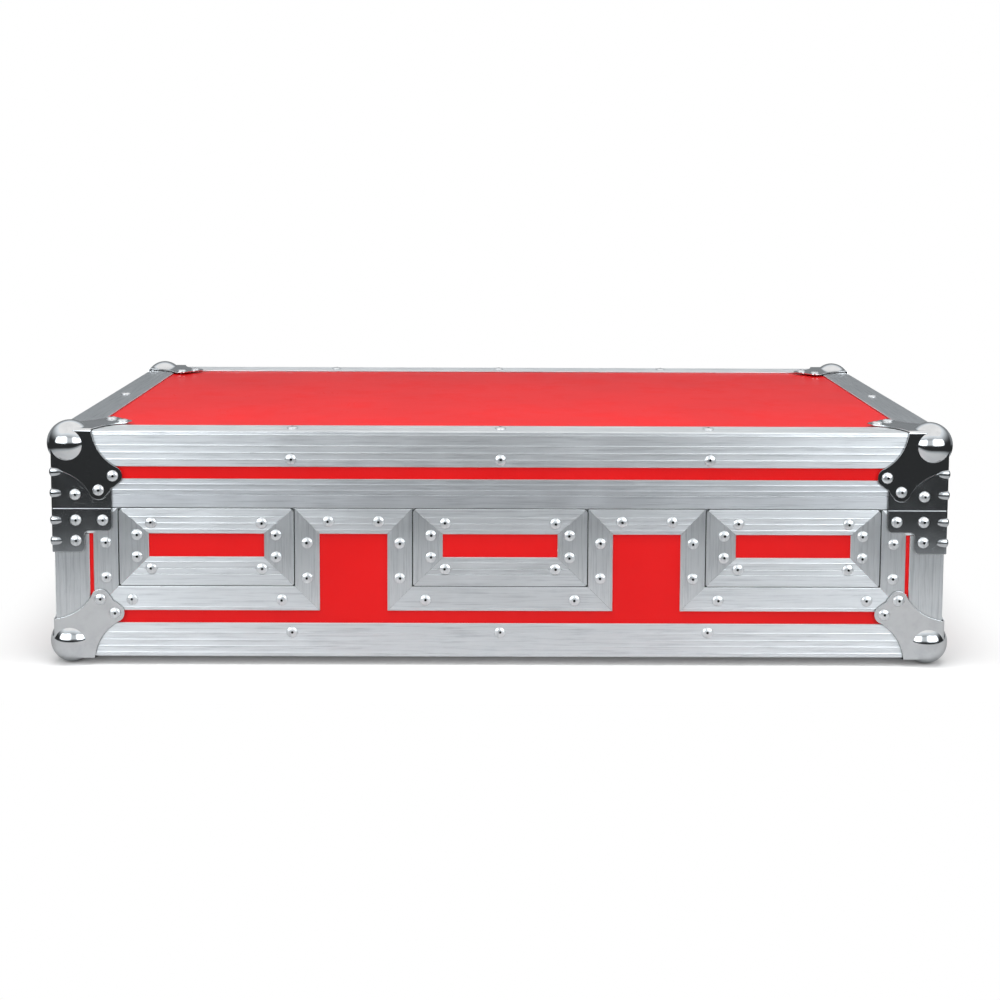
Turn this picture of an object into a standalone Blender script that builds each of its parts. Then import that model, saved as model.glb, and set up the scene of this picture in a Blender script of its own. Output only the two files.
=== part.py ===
"""Road case for two players and a mixer, with a lift-off lid and three lift-out front doors.

The front faces -Y and the case stands on its four lower ball corners at z = 0.
"""

import math

import bmesh
import bpy
from mathutils import Matrix, Vector

# Outside sizes over the aluminium edging
CASE_WIDTH = 0.762
CASE_DEPTH = 0.420
BASE_HEIGHT = 0.130
LID_HEIGHT = 0.067

# Gap between two pieces that touch
FIT = 0.0003

# Stock: laminated panels, extrusion walls over their reeds, and pressed sheet
PANEL = 0.009
LEAF = 0.0015
SHEET = 0.0012

# Double-angle edging
EDGE_LEG = 0.030
LID_EDGE_LEG = 0.0312
EDGE_ROUND = 0.0025
EDGE_UPSTAND = 0.022

# Lid joint: rim, surround and door trims share one cross-section
RIM_LEAF = 0.022
SURROUND_LEAF = 0.0212
LID_RIM_LEAF = 0.0251
BACK_LEAF = 0.012
TONGUE_WIDTH = 0.004
TONGUE_HEIGHT = 0.003
RIM_EASE = 0.0006

# Reeds, given by their distance from a leaf's free edge
REED_WIDTH = 0.0012
REED_HEIGHT = 0.00035
EDGE_REEDS = (0.015,)
RIM_REEDS = (0.0035, 0.018)
LID_RIM_REEDS = (0.0047, 0.0098, 0.0136)
DOOR_REEDS = (0.003, 0.017)

# Front openings and their doors: panel left showing beside the posts and between surrounds
POST_STRIP = 0.00345
PILLAR_STRIP = 0.0579
OPENING_DEPTH = 0.0677
DOOR_SIDE_GAP = 0.0007
DOOR_SIDE_TRIM = 0.0255
DOOR_TOP_TRIM = 0.022
DOOR_FOOT_TRIM = 0.0253

# Ball corners
BALL_RADIUS = 0.0193
BALL_PROUD = 0.007
PETAL_WAIST = 0.0334
PETAL_REACH = 0.0513
PETAL_SPREAD = 0.039
PETAL_LOBE = 0.0082
PETAL_NOTCH = 0.0065

# Corner braces: an L on each of two faces
BRACE_ARM = 0.050
BRACE_ARM_WIDTH = 0.0195
BRACE_LEG = 0.038
BRACE_LEG_WIDTH = 0.0265
BRACE_ROUND = 0.004
BRACE_RIVET_TIP = 0.0086
BRACE_RIVET_FOOT = 0.0096

# Blind rivets
RIVET_SIDES = 6
RIVET_RADIUS = 0.00495
RIVET_RISE = 0.0018
RIVET_TOP = 0.0026
RIVET_SINK = 0.0006
EDGE_RIVET_SHARE = 0.2343

# Recessed twist latches
LATCH_HANDLE_GAP = 0.010
SPINDLE_DROP = 0.016
SPINDLE_RADIUS = 0.004
CLAW_REACH = 0.028
CLAW_SHEET = 0.002
FINGER_WIDTH = 0.0042
STUD_RADIUS = 0.003
HUB_RADIUS = 0.008
HUB_RISE = 0.001
WING_SHEET = 0.0024
WING_HALF_WIDTH = 0.017
WING_DROP = 0.023
HINGE_PIN_RADIUS = 0.0012
HINGE_PIN_HALF = 0.008
BOSS_HALF = 0.0045
MOVING_GAP = 0.0008
FLANGE = 0.0105

# Recessed handles
HANDLE_MARGIN = 0.0029
HANDLE_PAN_WIDTH = 0.100
HANDLE_PAN_DEPTH = 0.016
BAIL_RADIUS = 0.004
GRIP_CLEARANCE = 0.0039
BAIL_BEND = 0.009
GRIP_RADIUS = 0.0065
GRIP_LENGTH = 0.062

# Foam
FOAM_SIDE = 0.015
FOAM_DIVIDER = 0.012
FOAM_FRONT = 0.012
FOAM_REAR = 0.025
FOAM_FLOOR = 0.015
FOAM_SETBACK = 0.008
LID_FOAM = 0.020

# Levels and insets that follow from the sizes above
HALF_WIDTH = CASE_WIDTH / 2
HALF_DEPTH = CASE_DEPTH / 2
BASE_BOTTOM = BALL_PROUD
PARTING = BASE_BOTTOM + BASE_HEIGHT
BASE_TOP = PARTING - FIT / 2
LID_BOTTOM = PARTING + FIT / 2
LID_TOP = PARTING + LID_HEIGHT
PANEL_FACE = LEAF + FIT
PANEL_BACK = PANEL_FACE + PANEL
SHELF = PANEL_BACK + FIT
INNER_FACE = SHELF + LEAF
GROOVE_WIDTH = TONGUE_WIDTH + 2 * FIT
GROOVE_DEPTH = TONGUE_HEIGHT + 2 * FIT
GROOVE_ROOT = GROOVE_DEPTH + LEAF
POST_BOTTOM = BASE_BOTTOM + EDGE_LEG + FIT
POST_TOP = BASE_TOP - RIM_LEAF - FIT
WALL_BOTTOM = BASE_BOTTOM + INNER_FACE + FIT
WALL_TOP = BASE_TOP - LEAF - FIT
EDGE_RIVET_PITCH = EDGE_RIVET_SHARE * CASE_WIDTH
FRONT_CLEAR = CASE_WIDTH - 2 * (EDGE_LEG + POST_STRIP + PILLAR_STRIP)
OPENING_WIDTH = FRONT_CLEAR / 3 - 2 * SURROUND_LEAF
DOOR_PITCH = OPENING_WIDTH + 2 * SURROUND_LEAF + PILLAR_STRIP
OPENING_HALF = OPENING_WIDTH / 2
OPENING_FOOT = BASE_TOP - OPENING_DEPTH
DOOR_CENTRES = (-DOOR_PITCH, 0.0, DOOR_PITCH)
DOOR_HALF = OPENING_HALF - DOOR_SIDE_GAP
DOOR_FOOT = OPENING_FOOT + FIT
CORNER_TRIM = BALL_RADIUS - BALL_PROUD
FLANGE_INSET = PANEL_FACE - FIT - SHEET
PAN_FLOOR = SHELF - 2 * FIT - SHEET
SPINDLE_HEIGHT = PARTING - SPINDLE_DROP
STUD_RISE = CLAW_REACH - FINGER_WIDTH - MOVING_GAP - STUD_RADIUS
PAN_HALF = CLAW_REACH + 2 * MOVING_GAP
CLAW_INSET = PAN_FLOOR - MOVING_GAP / 2 - CLAW_SHEET
HUB_INSET = CLAW_INSET - HUB_RISE
WING_INSET = HUB_INSET - MOVING_GAP - WING_SHEET
HINGE_INSET = WING_INSET + WING_SHEET / 2
HANDLE_HEIGHT = (POST_BOTTOM + POST_TOP) / 2
HANDLE_PAN_HEIGHT = POST_TOP - POST_BOTTOM - 2 * (HANDLE_MARGIN + FLANGE + SHEET)
BAIL_HEIGHT = HANDLE_HEIGHT + HANDLE_PAN_HEIGHT / 2 - BAIL_RADIUS - 2 * MOVING_GAP
BAIL_FOOT = HANDLE_HEIGHT - HANDLE_PAN_HEIGHT / 2 + GRIP_CLEARANCE + GRIP_RADIUS
BAIL_DROP = BAIL_HEIGHT - BAIL_FOOT
BAIL_INSET = FLANGE_INSET + HANDLE_PAN_DEPTH / 2
LATCH_SPREAD = HANDLE_PAN_WIDTH / 2 + LATCH_HANDLE_GAP + PAN_HALF + 2 * (SHEET + FLANGE)

SIDES = ((-1, "left"), (1, "right"))
ENDS = ((-1, "front"), (1, "rear"))
QUARTER = math.pi / 2


def new_collection(name):
    """Link a new collection to the scene."""
    collection = bpy.data.collections.new(name)
    bpy.context.scene.collection.children.link(collection)
    return collection


def new_material(name, colour, roughness, metallic=0.0):
    """Principled material with one plain finish."""
    material = bpy.data.materials.new(name)
    material.use_nodes = True
    shader = material.node_tree.nodes["Principled BSDF"]
    shader.inputs["Base Color"].default_value = (*colour, 1.0)
    shader.inputs["Roughness"].default_value = roughness
    shader.inputs["Metallic"].default_value = metallic
    return material


def new_object(name, mesh, collection):
    """Put a mesh in the scene."""
    obj = bpy.data.objects.new(name, mesh)
    collection.objects.link(obj)
    return obj


def piece(name, bm, material, smooth=False):
    """Turn a finished bmesh into one named piece of the case."""
    bmesh.ops.recalc_face_normals(bm, faces=bm.faces)
    mesh = bpy.data.meshes.new(name)
    bm.to_mesh(mesh)
    bm.free()
    mesh.materials.append(material)
    if smooth:
        mesh.shade_smooth()
        mesh.set_sharp_from_angle(angle=math.radians(35))
    return new_object(name, mesh, case)


def cutter(name, bm):
    """Turn a finished bmesh into a hidden shape that cuts or joins."""
    bmesh.ops.recalc_face_normals(bm, faces=bm.faces)
    mesh = bpy.data.meshes.new(name)
    bm.to_mesh(mesh)
    bm.free()
    obj = new_object(name, mesh, cutters)
    obj.hide_render = True
    obj.display_type = "WIRE"
    return obj


def boolean(target, tool, operation):
    """Cut a shape out of a piece, or join it on."""
    modifier = target.modifiers.new(tool.name, "BOOLEAN")
    modifier.operation = operation
    modifier.solver = "EXACT"
    modifier.object = tool


def finished_mesh(obj, material, smooth=False):
    """Apply an object's modifiers, remove it with its tools and return the mesh."""
    bpy.context.view_layer.update()
    evaluated = obj.evaluated_get(bpy.context.evaluated_depsgraph_get())
    mesh = bpy.data.meshes.new_from_object(evaluated)
    for modifier in obj.modifiers:
        bpy.data.objects.remove(modifier.object)
    bpy.data.objects.remove(obj)
    mesh.materials.clear()
    mesh.materials.append(material)
    if smooth:
        mesh.shade_smooth()
        mesh.set_sharp_from_angle(angle=math.radians(35))
    return mesh


def add_box(bm, corner, opposite):
    """Box between any two opposite corners."""
    corner = Vector(corner)
    opposite = Vector(opposite)
    size = opposite - corner
    scale = Matrix.Diagonal((abs(size.x), abs(size.y), abs(size.z), 1.0))
    place = Matrix.Translation((corner + opposite) / 2) @ scale
    return bmesh.ops.create_cube(bm, size=1.0, matrix=place)["verts"]


def box_piece(name, corner, opposite, material):
    """Box-shaped piece, placed by its location."""
    corner = Vector(corner)
    opposite = Vector(opposite)
    middle = (corner + opposite) / 2
    bm = bmesh.new()
    add_box(bm, corner - middle, opposite - middle)
    obj = piece(name, bm, material)
    obj.location = middle
    return obj


def box_cutter(name, boxes):
    """One cutter made of several boxes that don't meet."""
    bm = bmesh.new()
    for corner, opposite in boxes:
        add_box(bm, corner, opposite)
    return cutter(name, bm)


def add_round(bm, start, end, radius, segments=12, end_radius=None):
    """Cylinder or cone between two points."""
    start = Vector(start)
    end = Vector(end)
    axis = end - start
    turn = axis.to_track_quat("Z", "Y").to_matrix().to_4x4()
    bmesh.ops.create_cone(
        bm,
        cap_ends=True,
        segments=segments,
        radius1=radius,
        radius2=radius if end_radius is None else end_radius,
        depth=axis.length,
        matrix=Matrix.Translation((start + end) / 2) @ turn,
    )


def add_prism(bm, outline, start, end):
    """Extrude a flat outline, given as points, from one offset to another."""
    start = Vector(start)
    end = Vector(end)
    ring = [bm.verts.new(start + Vector(point)) for point in outline]
    cap = bm.faces.new(ring)
    grown = bmesh.ops.extrude_face_region(bm, geom=[cap])["geom"]
    moved = [item for item in grown if isinstance(item, bmesh.types.BMVert)]
    bmesh.ops.translate(bm, verts=moved, vec=end - start)


def arc(centre, radius, first, last, steps):
    """Points of an arc, in degrees, both ends included."""
    turn = (last - first) / steps
    angles = [math.radians(first + turn * step) for step in range(steps + 1)]
    return [(centre[0] + radius * math.cos(a), centre[1] + radius * math.sin(a)) for a in angles]


def rivet_heads(target, places, normal, rows=""):
    """Join domed rivet heads to the face that they are set in."""
    normal = Vector(normal)
    bm = bmesh.new()
    for place in places:
        seat = Vector(place) - normal * RIVET_SINK
        crown = Vector(place) + normal * RIVET_RISE
        add_round(bm, seat, crown, RIVET_RADIUS, RIVET_SIDES, RIVET_TOP)
    boolean(target, cutter(f"{target.name}_rivets{rows}", bm), "UNION")


def reeded_face(leaf, reeds):
    """Outer face of a leaf from free edge to root, as (depth, distance from the root)."""
    points = [(REED_HEIGHT, leaf)]
    for margin in reeds:
        upper = leaf - margin + REED_WIDTH / 2
        lower = leaf - margin - REED_WIDTH / 2
        points.append((REED_HEIGHT, upper))
        points.append((0.0, upper - REED_HEIGHT))
        points.append((0.0, lower + REED_HEIGHT))
        points.append((REED_HEIGHT, lower))
    return points


def edge_section(wall_leg=EDGE_LEG):
    """Double angle as (inset, rise) from the outer corner: an L, a shelf and an upstand."""
    rounding = REED_HEIGHT + EDGE_ROUND
    root = rounding + REED_WIDTH
    face = reeded_face(EDGE_LEG, (*EDGE_REEDS, EDGE_LEG - root))
    corner = arc((rounding, rounding), EDGE_ROUND, 180, 270, 3)
    section = [(LEAF, wall_leg)]
    section += reeded_face(wall_leg, (*EDGE_REEDS, wall_leg - root))
    section += corner
    section += [(along, depth) for depth, along in reversed(face)]
    section += [(EDGE_LEG, LEAF), (LEAF, LEAF), (LEAF, SHELF), (INNER_FACE, SHELF)]
    section += [(INNER_FACE, EDGE_UPSTAND), (SHELF, EDGE_UPSTAND)]
    section += [(SHELF, INNER_FACE), (LEAF, INNER_FACE)]
    return section


def rim_section(leaf, reeds, grooved):
    """U-channel over a panel's edge, as (inset, distance into the panel)."""
    middle = INNER_FACE / 2
    half = (GROOVE_WIDTH if grooved else TONGUE_WIDTH) / 2
    reach = GROOVE_DEPTH if grooved else -TONGUE_HEIGHT
    root = GROOVE_ROOT if grooved else LEAF
    section = [(LEAF, leaf)]
    section += reeded_face(leaf, reeds)
    section += [(REED_HEIGHT, RIM_EASE), (REED_HEIGHT + RIM_EASE, 0.0)]
    section += [(middle - half, 0.0), (middle - half, reach)]
    section += [(middle + half, reach), (middle + half, 0.0)]
    section += [(INNER_FACE, 0.0), (INNER_FACE, BACK_LEAF), (SHELF, BACK_LEAF)]
    section += [(SHELF, root), (LEAF, root)]
    return section


def mitred(corner, inward, into, section_x, section_z=None):
    """Section at a mitre: insets run along inward, distances into the panel along into."""
    corner = Vector(corner)
    inward = Vector(inward)
    points = []
    for (inset, reach_x), (_, reach_z) in zip(section_x, section_z or section_x):
        reach = Vector((into[0] * reach_x, 0.0, into[2] * reach_z))
        points.append(corner + inward * inset + reach)
    return points


def frame_piece(name, sections, material):
    """Closed frame that joins matching sections in turn, mitred at each."""
    bm = bmesh.new()
    loops = []
    for section in sections:
        ring = [bm.verts.new(point) for point in section]
        loops.append([bm.edges.new(pair) for pair in zip(ring, ring[1:] + ring[:1])])
    for loop, following in zip(loops, loops[1:] + loops[:1]):
        bmesh.ops.bridge_loops(bm, edges=loop + following)
    return piece(name, bm, material)


def case_ring(name, level, into_z, section, material):
    """Frame round the whole case, with its sections at the four case corners."""
    sections = []
    for sign_x, sign_y in ((-1, -1), (1, -1), (1, 1), (-1, 1)):
        corner = (sign_x * HALF_WIDTH, sign_y * HALF_DEPTH, level)
        sections.append(mitred(corner, (-sign_x, -sign_y, 0), (0, 0, into_z), section))
    return frame_piece(name, sections, material)


def corner_trim(name, level, up):
    """Cutter that takes off the sharp corners that would stand out of the balls."""
    size = 2 * BALL_RADIUS
    bm = bmesh.new()
    for sign_x in (-1, 1):
        for sign_y in (-1, 1):
            outward = Vector((sign_x, sign_y, -up)).normalized()
            corner = Vector((sign_x * HALF_WIDTH, sign_y * HALF_DEPTH, level))
            face = corner - outward * CORNER_TRIM / math.sqrt(3)
            turn = outward.to_track_quat("Z", "Y").to_matrix().to_4x4()
            place = Matrix.Translation(face + outward * size / 2) @ turn
            bmesh.ops.create_cube(bm, size=size, matrix=place)
    return cutter(name, bm)


def edge_ring(name, level, up, wall_leg, margin):
    """Edge of the base or lid with its rivets; margin is the side rivets' row."""
    obj = case_ring(name, level, up, edge_section(wall_leg), aluminium)
    boolean(obj, corner_trim(f"{name}_trim", level, up), "DIFFERENCE")
    row = level + up * margin
    flat = level + up * REED_HEIGHT
    middle = EDGE_LEG / 2
    columns = (-EDGE_RIVET_PITCH, 0.0, EDGE_RIVET_PITCH)
    for end, label in ENDS:
        face = end * (HALF_DEPTH - REED_HEIGHT)
        rivet_heads(obj, [(x, face, row) for x in columns], (0, end, 0), f"_{label}")
    for side, label in SIDES:
        face = side * (HALF_WIDTH - REED_HEIGHT)
        rivet_heads(obj, [(face, 0.0, row)], (side, 0, 0), f"_{label}")
    flat_places = [(x, end * (HALF_DEPTH - middle), flat) for end, _ in ENDS for x in columns]
    flat_places += [(side * (HALF_WIDTH - middle), 0.0, flat) for side, _ in SIDES]
    rivet_heads(obj, flat_places, (0, 0, -up), "_flat")
    return obj


def corner_post(name, side, end):
    """Upright double angle between the base edge and the rim."""
    outline = []
    for inset_y, inset_x in edge_section():
        outline.append((side * (EDGE_LEG / 2 - inset_x), end * (EDGE_LEG / 2 - inset_y), 0.0))
    bm = bmesh.new()
    length = POST_TOP - POST_BOTTOM
    add_prism(bm, outline, (0, 0, -length / 2), (0, 0, length / 2))
    obj = piece(name, bm, aluminium)
    middle_x = side * (HALF_WIDTH - EDGE_LEG / 2)
    middle_y = end * (HALF_DEPTH - EDGE_LEG / 2)
    obj.location = (middle_x, middle_y, (POST_TOP + POST_BOTTOM) / 2)
    return obj


def opening_sections(centre):
    """Mitres of the rim where it drops round one front opening."""
    rim = rim_section(RIM_LEAF, RIM_REEDS, False)
    surround = rim_section(SURROUND_LEAF, RIM_REEDS, False)
    left = centre - OPENING_HALF
    right = centre + OPENING_HALF
    inward = (0, 1, 0)
    return [
        mitred((left, -HALF_DEPTH, BASE_TOP), inward, (-1, 0, -1), surround, rim),
        mitred((left, -HALF_DEPTH, OPENING_FOOT), inward, (-1, 0, -1), surround),
        mitred((right, -HALF_DEPTH, OPENING_FOOT), inward, (1, 0, -1), surround),
        mitred((right, -HALF_DEPTH, BASE_TOP), inward, (1, 0, -1), surround, rim),
    ]


def base_rim_piece():
    """Male half of the lid joint, with the three surrounds."""
    rim = rim_section(RIM_LEAF, RIM_REEDS, False)
    down = (0, 0, -1)
    sections = [mitred((-HALF_WIDTH, -HALF_DEPTH, BASE_TOP), (1, 1, 0), down, rim)]
    for centre in DOOR_CENTRES:
        sections += opening_sections(centre)
    sections.append(mitred((HALF_WIDTH, -HALF_DEPTH, BASE_TOP), (-1, 1, 0), down, rim))
    sections.append(mitred((HALF_WIDTH, HALF_DEPTH, BASE_TOP), (-1, -1, 0), down, rim))
    sections.append(mitred((-HALF_WIDTH, HALF_DEPTH, BASE_TOP), (1, -1, 0), down, rim))
    obj = frame_piece("base_rim", sections, aluminium)

    row = BASE_TOP - RIM_LEAF / 2
    face = -HALF_DEPTH + REED_HEIGHT
    places = []
    for centre in DOOR_CENTRES:
        for hand in (-1, 1):
            column = centre + hand * (OPENING_HALF + SURROUND_LEAF / 2)
            places.append((column, face, BASE_TOP - 0.44 * OPENING_DEPTH))
            places.append((column, face, BASE_TOP - 0.89 * OPENING_DEPTH))
            foot = OPENING_FOOT - 0.55 * SURROUND_LEAF
            places.append((centre + hand * 0.85 * OPENING_HALF, face, foot))
    for hand in (-1, 1):
        for nudge in (-0.0215, 0.0215):
            places.append((hand * DOOR_PITCH / 2 + nudge, face, row))
    rivet_heads(obj, places, (0, -1, 0), "_front")
    rear = [(x, HALF_DEPTH - REED_HEIGHT, row) for x in (-EDGE_RIVET_PITCH, 0.0, EDGE_RIVET_PITCH)]
    rivet_heads(obj, rear, (0, 1, 0), "_rear")
    return obj


def front_openings(name, low, high, grow):
    """Cutter for the three front openings, between two depths."""
    boxes = []
    for centre in DOOR_CENTRES:
        left = centre - OPENING_HALF - grow
        right = centre + OPENING_HALF + grow
        boxes.append(((left, low, OPENING_FOOT - grow), (right, high, BASE_TOP + LEAF)))
    return box_cutter(name, boxes)


def door_pieces(label, centre):
    """One access door: a frame with a groove on three edges and a tongue on top, and a panel."""
    left = centre - DOOR_HALF
    right = centre + DOOR_HALF
    side = rim_section(DOOR_SIDE_TRIM, DOOR_REEDS, True)
    foot = rim_section(DOOR_FOOT_TRIM, DOOR_REEDS, True)
    top = rim_section(DOOR_TOP_TRIM, DOOR_REEDS, True)
    inward = (0, 1, 0)
    sections = [
        mitred((left, -HALF_DEPTH, DOOR_FOOT), inward, (1, 0, 1), side, foot),
        mitred((right, -HALF_DEPTH, DOOR_FOOT), inward, (-1, 0, 1), side, foot),
        mitred((right, -HALF_DEPTH, BASE_TOP), inward, (-1, 0, -1), side, top),
        mitred((left, -HALF_DEPTH, BASE_TOP), inward, (1, 0, -1), side, top),
    ]
    frame = frame_piece(f"door_frame_{label}", sections, aluminium)

    middle = -HALF_DEPTH + INNER_FACE / 2
    reach = DOOR_HALF - GROOVE_ROOT
    fill = GROOVE_WIDTH / 2 + LEAF / 3
    depth = GROOVE_DEPTH + LEAF / 3
    filler = box_cutter(
        f"door_filler_{label}",
        [((centre - reach, middle - fill, BASE_TOP - depth), (centre + reach, middle + fill, BASE_TOP))],
    )
    tongue = box_cutter(
        f"door_tongue_{label}",
        [
            (
                (centre - reach, middle - TONGUE_WIDTH / 2, BASE_TOP - depth),
                (centre + reach, middle + TONGUE_WIDTH / 2, BASE_TOP + TONGUE_HEIGHT),
            )
        ],
    )
    boolean(frame, filler, "UNION")
    boolean(frame, tongue, "UNION")

    face = -HALF_DEPTH + REED_HEIGHT
    window_half = DOOR_HALF - DOOR_SIDE_TRIM
    window_top = BASE_TOP - DOOR_TOP_TRIM
    window_foot = DOOR_FOOT + DOOR_FOOT_TRIM
    places = []
    for hand in (-1, 1):
        side_x = centre + hand * (DOOR_HALF - 0.6 * DOOR_SIDE_TRIM)
        bar_x = centre + hand * (window_half - 0.002)
        places.append((side_x, face, window_top - 0.001))
        places.append((side_x, face, window_foot))
        places.append((bar_x, face, BASE_TOP - 0.57 * DOOR_TOP_TRIM))
        places.append((bar_x, face, DOOR_FOOT + 0.6 * DOOR_FOOT_TRIM))
    rivet_heads(frame, places, (0, -1, 0))

    edge = GROOVE_ROOT + FIT
    box_piece(
        f"door_panel_{label}",
        (left + edge, -HALF_DEPTH + PANEL_FACE, DOOR_FOOT + edge),
        (right - edge, -HALF_DEPTH + PANEL_BACK, BASE_TOP - edge),
        laminate,
    )


def petal_outline(grow):
    """Half of a petal's edge, from the waist to the notch, as (along, away) from the case edge."""
    waist = PETAL_WAIST + grow
    lobe = (PETAL_REACH, PETAL_SPREAD)
    rim = arc(lobe, PETAL_LOBE + grow, -75, 35, 4)
    start = Vector((waist, 0.0))
    bend = Vector((waist + 0.1 * PETAL_WAIST, 0.55 * PETAL_SPREAD))
    flank = []
    for step in range(3):
        t = step / 3
        flank.append(tuple((1 - t) ** 2 * start + 2 * t * (1 - t) * bend + t * t * Vector(rim[0])))
    middle = (PETAL_REACH + PETAL_SPREAD) / 2 + (PETAL_NOTCH + grow) / math.sqrt(2)
    return flank + rim + [(middle, middle)]


def petal_shape(grow, low, high):
    """Closed petal outline, out to low beyond both case edges and to high away from them."""
    half = petal_outline(grow)
    other = [(v, u) for u, v in reversed(half[:-1])]
    inner = [(half[0][0], low)] + half + other + [(low, half[0][0])]
    if high is None:
        return inner + [(low, low)]
    return inner + [(low, high), (high, high), (high, low)]


def ball_corner_mesh():
    """Ball corner at the origin of a case corner that lies towards +X, +Y and +Z."""
    centre = Vector((1, 1, 1)) * (BALL_RADIUS - BALL_PROUD)
    outer = -FIT - SHEET
    reach = PETAL_REACH + 2 * PETAL_LOBE
    diagonal = Vector((-1, -1, -1)).normalized()

    def trimmed_block(face, trim):
        """Cube from the case corner with three rounded edges and its sharp corner taken off."""
        bm = bmesh.new()
        verts = add_box(bm, (face, face, face), (reach, reach, reach))
        apex = min(verts, key=lambda vert: vert.co.length)
        if face == outer:
            bmesh.ops.bevel(
                bm,
                geom=list(apex.link_edges),
                offset=EDGE_ROUND,
                segments=2,
                profile=0.5,
                affect="EDGES",
                material=-1,
            )
        cut = bmesh.ops.bisect_plane(
            bm,
            geom=bm.verts[:] + bm.edges[:] + bm.faces[:],
            plane_co=Vector((trim, 0, 0)),
            plane_no=diagonal,
            clear_outer=True,
        )
        rim = [item for item in cut["geom_cut"] if isinstance(item, bmesh.types.BMEdge)]
        bmesh.ops.edgeloop_fill(bm, edges=rim)
        return bm

    slack = math.sqrt(3) * FIT
    body = cutter("ball_body", trimmed_block(outer, CORNER_TRIM - slack - math.sqrt(3) * SHEET))
    outside = petal_shape(0.0, 2 * outer, 2 * reach)
    for name, first, second in (("top", 0, 1), ("front", 0, 2), ("side", 1, 2)):
        points = []
        for u, v in outside:
            point = [0.0, 0.0, 0.0]
            point[first] = u
            point[second] = v
            points.append(point)
        depth = Vector((1, 1, 1))
        depth[first] = 0.0
        depth[second] = 0.0
        bm = bmesh.new()
        add_prism(bm, points, depth * 2 * outer, depth * -FIT / 3)
        boolean(body, cutter(f"ball_waste_{name}", bm), "DIFFERENCE")
    bm = bmesh.new()
    ball_place = Matrix.Translation(centre)
    bmesh.ops.create_uvsphere(bm, u_segments=16, v_segments=8, radius=BALL_RADIUS, matrix=ball_place)
    boolean(body, cutter("ball_outside", bm), "UNION")
    boolean(body, cutter("ball_seat", trimmed_block(-FIT, CORNER_TRIM - slack)), "DIFFERENCE")
    bm = bmesh.new()
    hollow = BALL_RADIUS - SHEET
    bmesh.ops.create_uvsphere(bm, u_segments=8, v_segments=6, radius=hollow, matrix=ball_place)
    boolean(body, cutter("ball_hollow", bm), "DIFFERENCE")
    bm = bmesh.new()
    for u, v in ((PETAL_REACH, PETAL_SPREAD), (PETAL_SPREAD, PETAL_REACH)):
        seat = outer + RIVET_SINK
        crown = outer - RIVET_RISE
        add_round(bm, (u, v, seat), (u, v, crown), RIVET_RADIUS, RIVET_SIDES, RIVET_TOP)
        add_round(bm, (u, seat, v), (u, crown, v), RIVET_RADIUS, RIVET_SIDES, RIVET_TOP)
        add_round(bm, (seat, u, v), (crown, u, v), RIVET_RADIUS, RIVET_SIDES, RIVET_TOP)
    boolean(body, cutter("ball_rivets", bm), "UNION")
    return finished_mesh(body, chrome, smooth=True)


def brace_mesh(for_lid):
    """Corner brace at a case corner towards +X and +Y, level with the lid joint at z = 0."""
    outer = -FIT - SHEET
    inner = -FIT
    up = 1 if for_lid else -1
    bend = arc((outer + EDGE_ROUND, outer + EDGE_ROUND), EDGE_ROUND, 180, 270, 3)
    plan = bend + [(BRACE_ARM, outer), (BRACE_ARM, inner), (inner, inner), (inner, BRACE_ARM)]
    plan.append((outer, BRACE_ARM))
    bm = bmesh.new()
    add_prism(bm, [(x, y, 0) for x, y in plan], (0, 0, 0), (0, 0, up * BRACE_LEG))
    body = cutter("brace_body", bm)

    r = BRACE_ROUND
    beyond = BRACE_ARM + 2 * r
    below = BRACE_LEG + 2 * r
    waste = [(beyond, 0), (BRACE_ARM, 0)]
    waste += arc((BRACE_ARM - r, BRACE_ARM_WIDTH - r), r, 0, 90, 3)
    waste += arc((BRACE_LEG_WIDTH + r, BRACE_ARM_WIDTH + r), r, 270, 180, 3)
    waste += arc((BRACE_LEG_WIDTH - r, BRACE_LEG - r), r, 0, 90, 3)
    waste += [(BRACE_LEG_WIDTH - r, below), (beyond, below)]
    bm = bmesh.new()
    add_prism(bm, [(u, 0, up * v) for u, v in waste], (0, 2 * outer, 0), (0, -outer, 0))
    add_prism(bm, [(0, u, up * v) for u, v in waste], (2 * outer, 0, 0), (-outer, 0, 0))
    boolean(body, cutter("brace_cut", bm), "DIFFERENCE")
    if for_lid:
        rise = LID_TOP - LID_BOTTOM
        shape = petal_shape(FIT, 3 * outer, None)
        bm = bmesh.new()
        add_prism(bm, [(u, 0, rise - v) for u, v in shape], (0, 2 * outer, 0), (0, -outer, 0))
        boolean(body, cutter("brace_petal_front", bm), "DIFFERENCE")
        bm = bmesh.new()
        add_prism(bm, [(0, u, rise - v) for u, v in shape], (2 * outer, 0, 0), (-outer, 0, 0))
        boolean(body, cutter("brace_petal_side", bm), "DIFFERENCE")
        places = [(0.68 * BRACE_LEG_WIDTH, 0.6 * BRACE_ARM_WIDTH)]
    else:
        row = 0.52 * BRACE_ARM_WIDTH
        column = 0.68 * BRACE_LEG_WIDTH
        places = [(column, row), (BRACE_ARM - BRACE_RIVET_TIP, row), (column, BRACE_LEG - BRACE_RIVET_FOOT)]
    bm = bmesh.new()
    seat = outer + RIVET_SINK
    crown = outer - RIVET_RISE
    for u, v in places:
        add_round(bm, (u, seat, up * v), (u, crown, up * v), RIVET_RADIUS, RIVET_SIDES, RIVET_TOP)
        add_round(bm, (seat, u, up * v), (crown, u, up * v), RIVET_RADIUS, RIVET_SIDES, RIVET_TOP)
    boolean(body, cutter("brace_rivets", bm), "UNION")
    return finished_mesh(body, steel)


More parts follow.
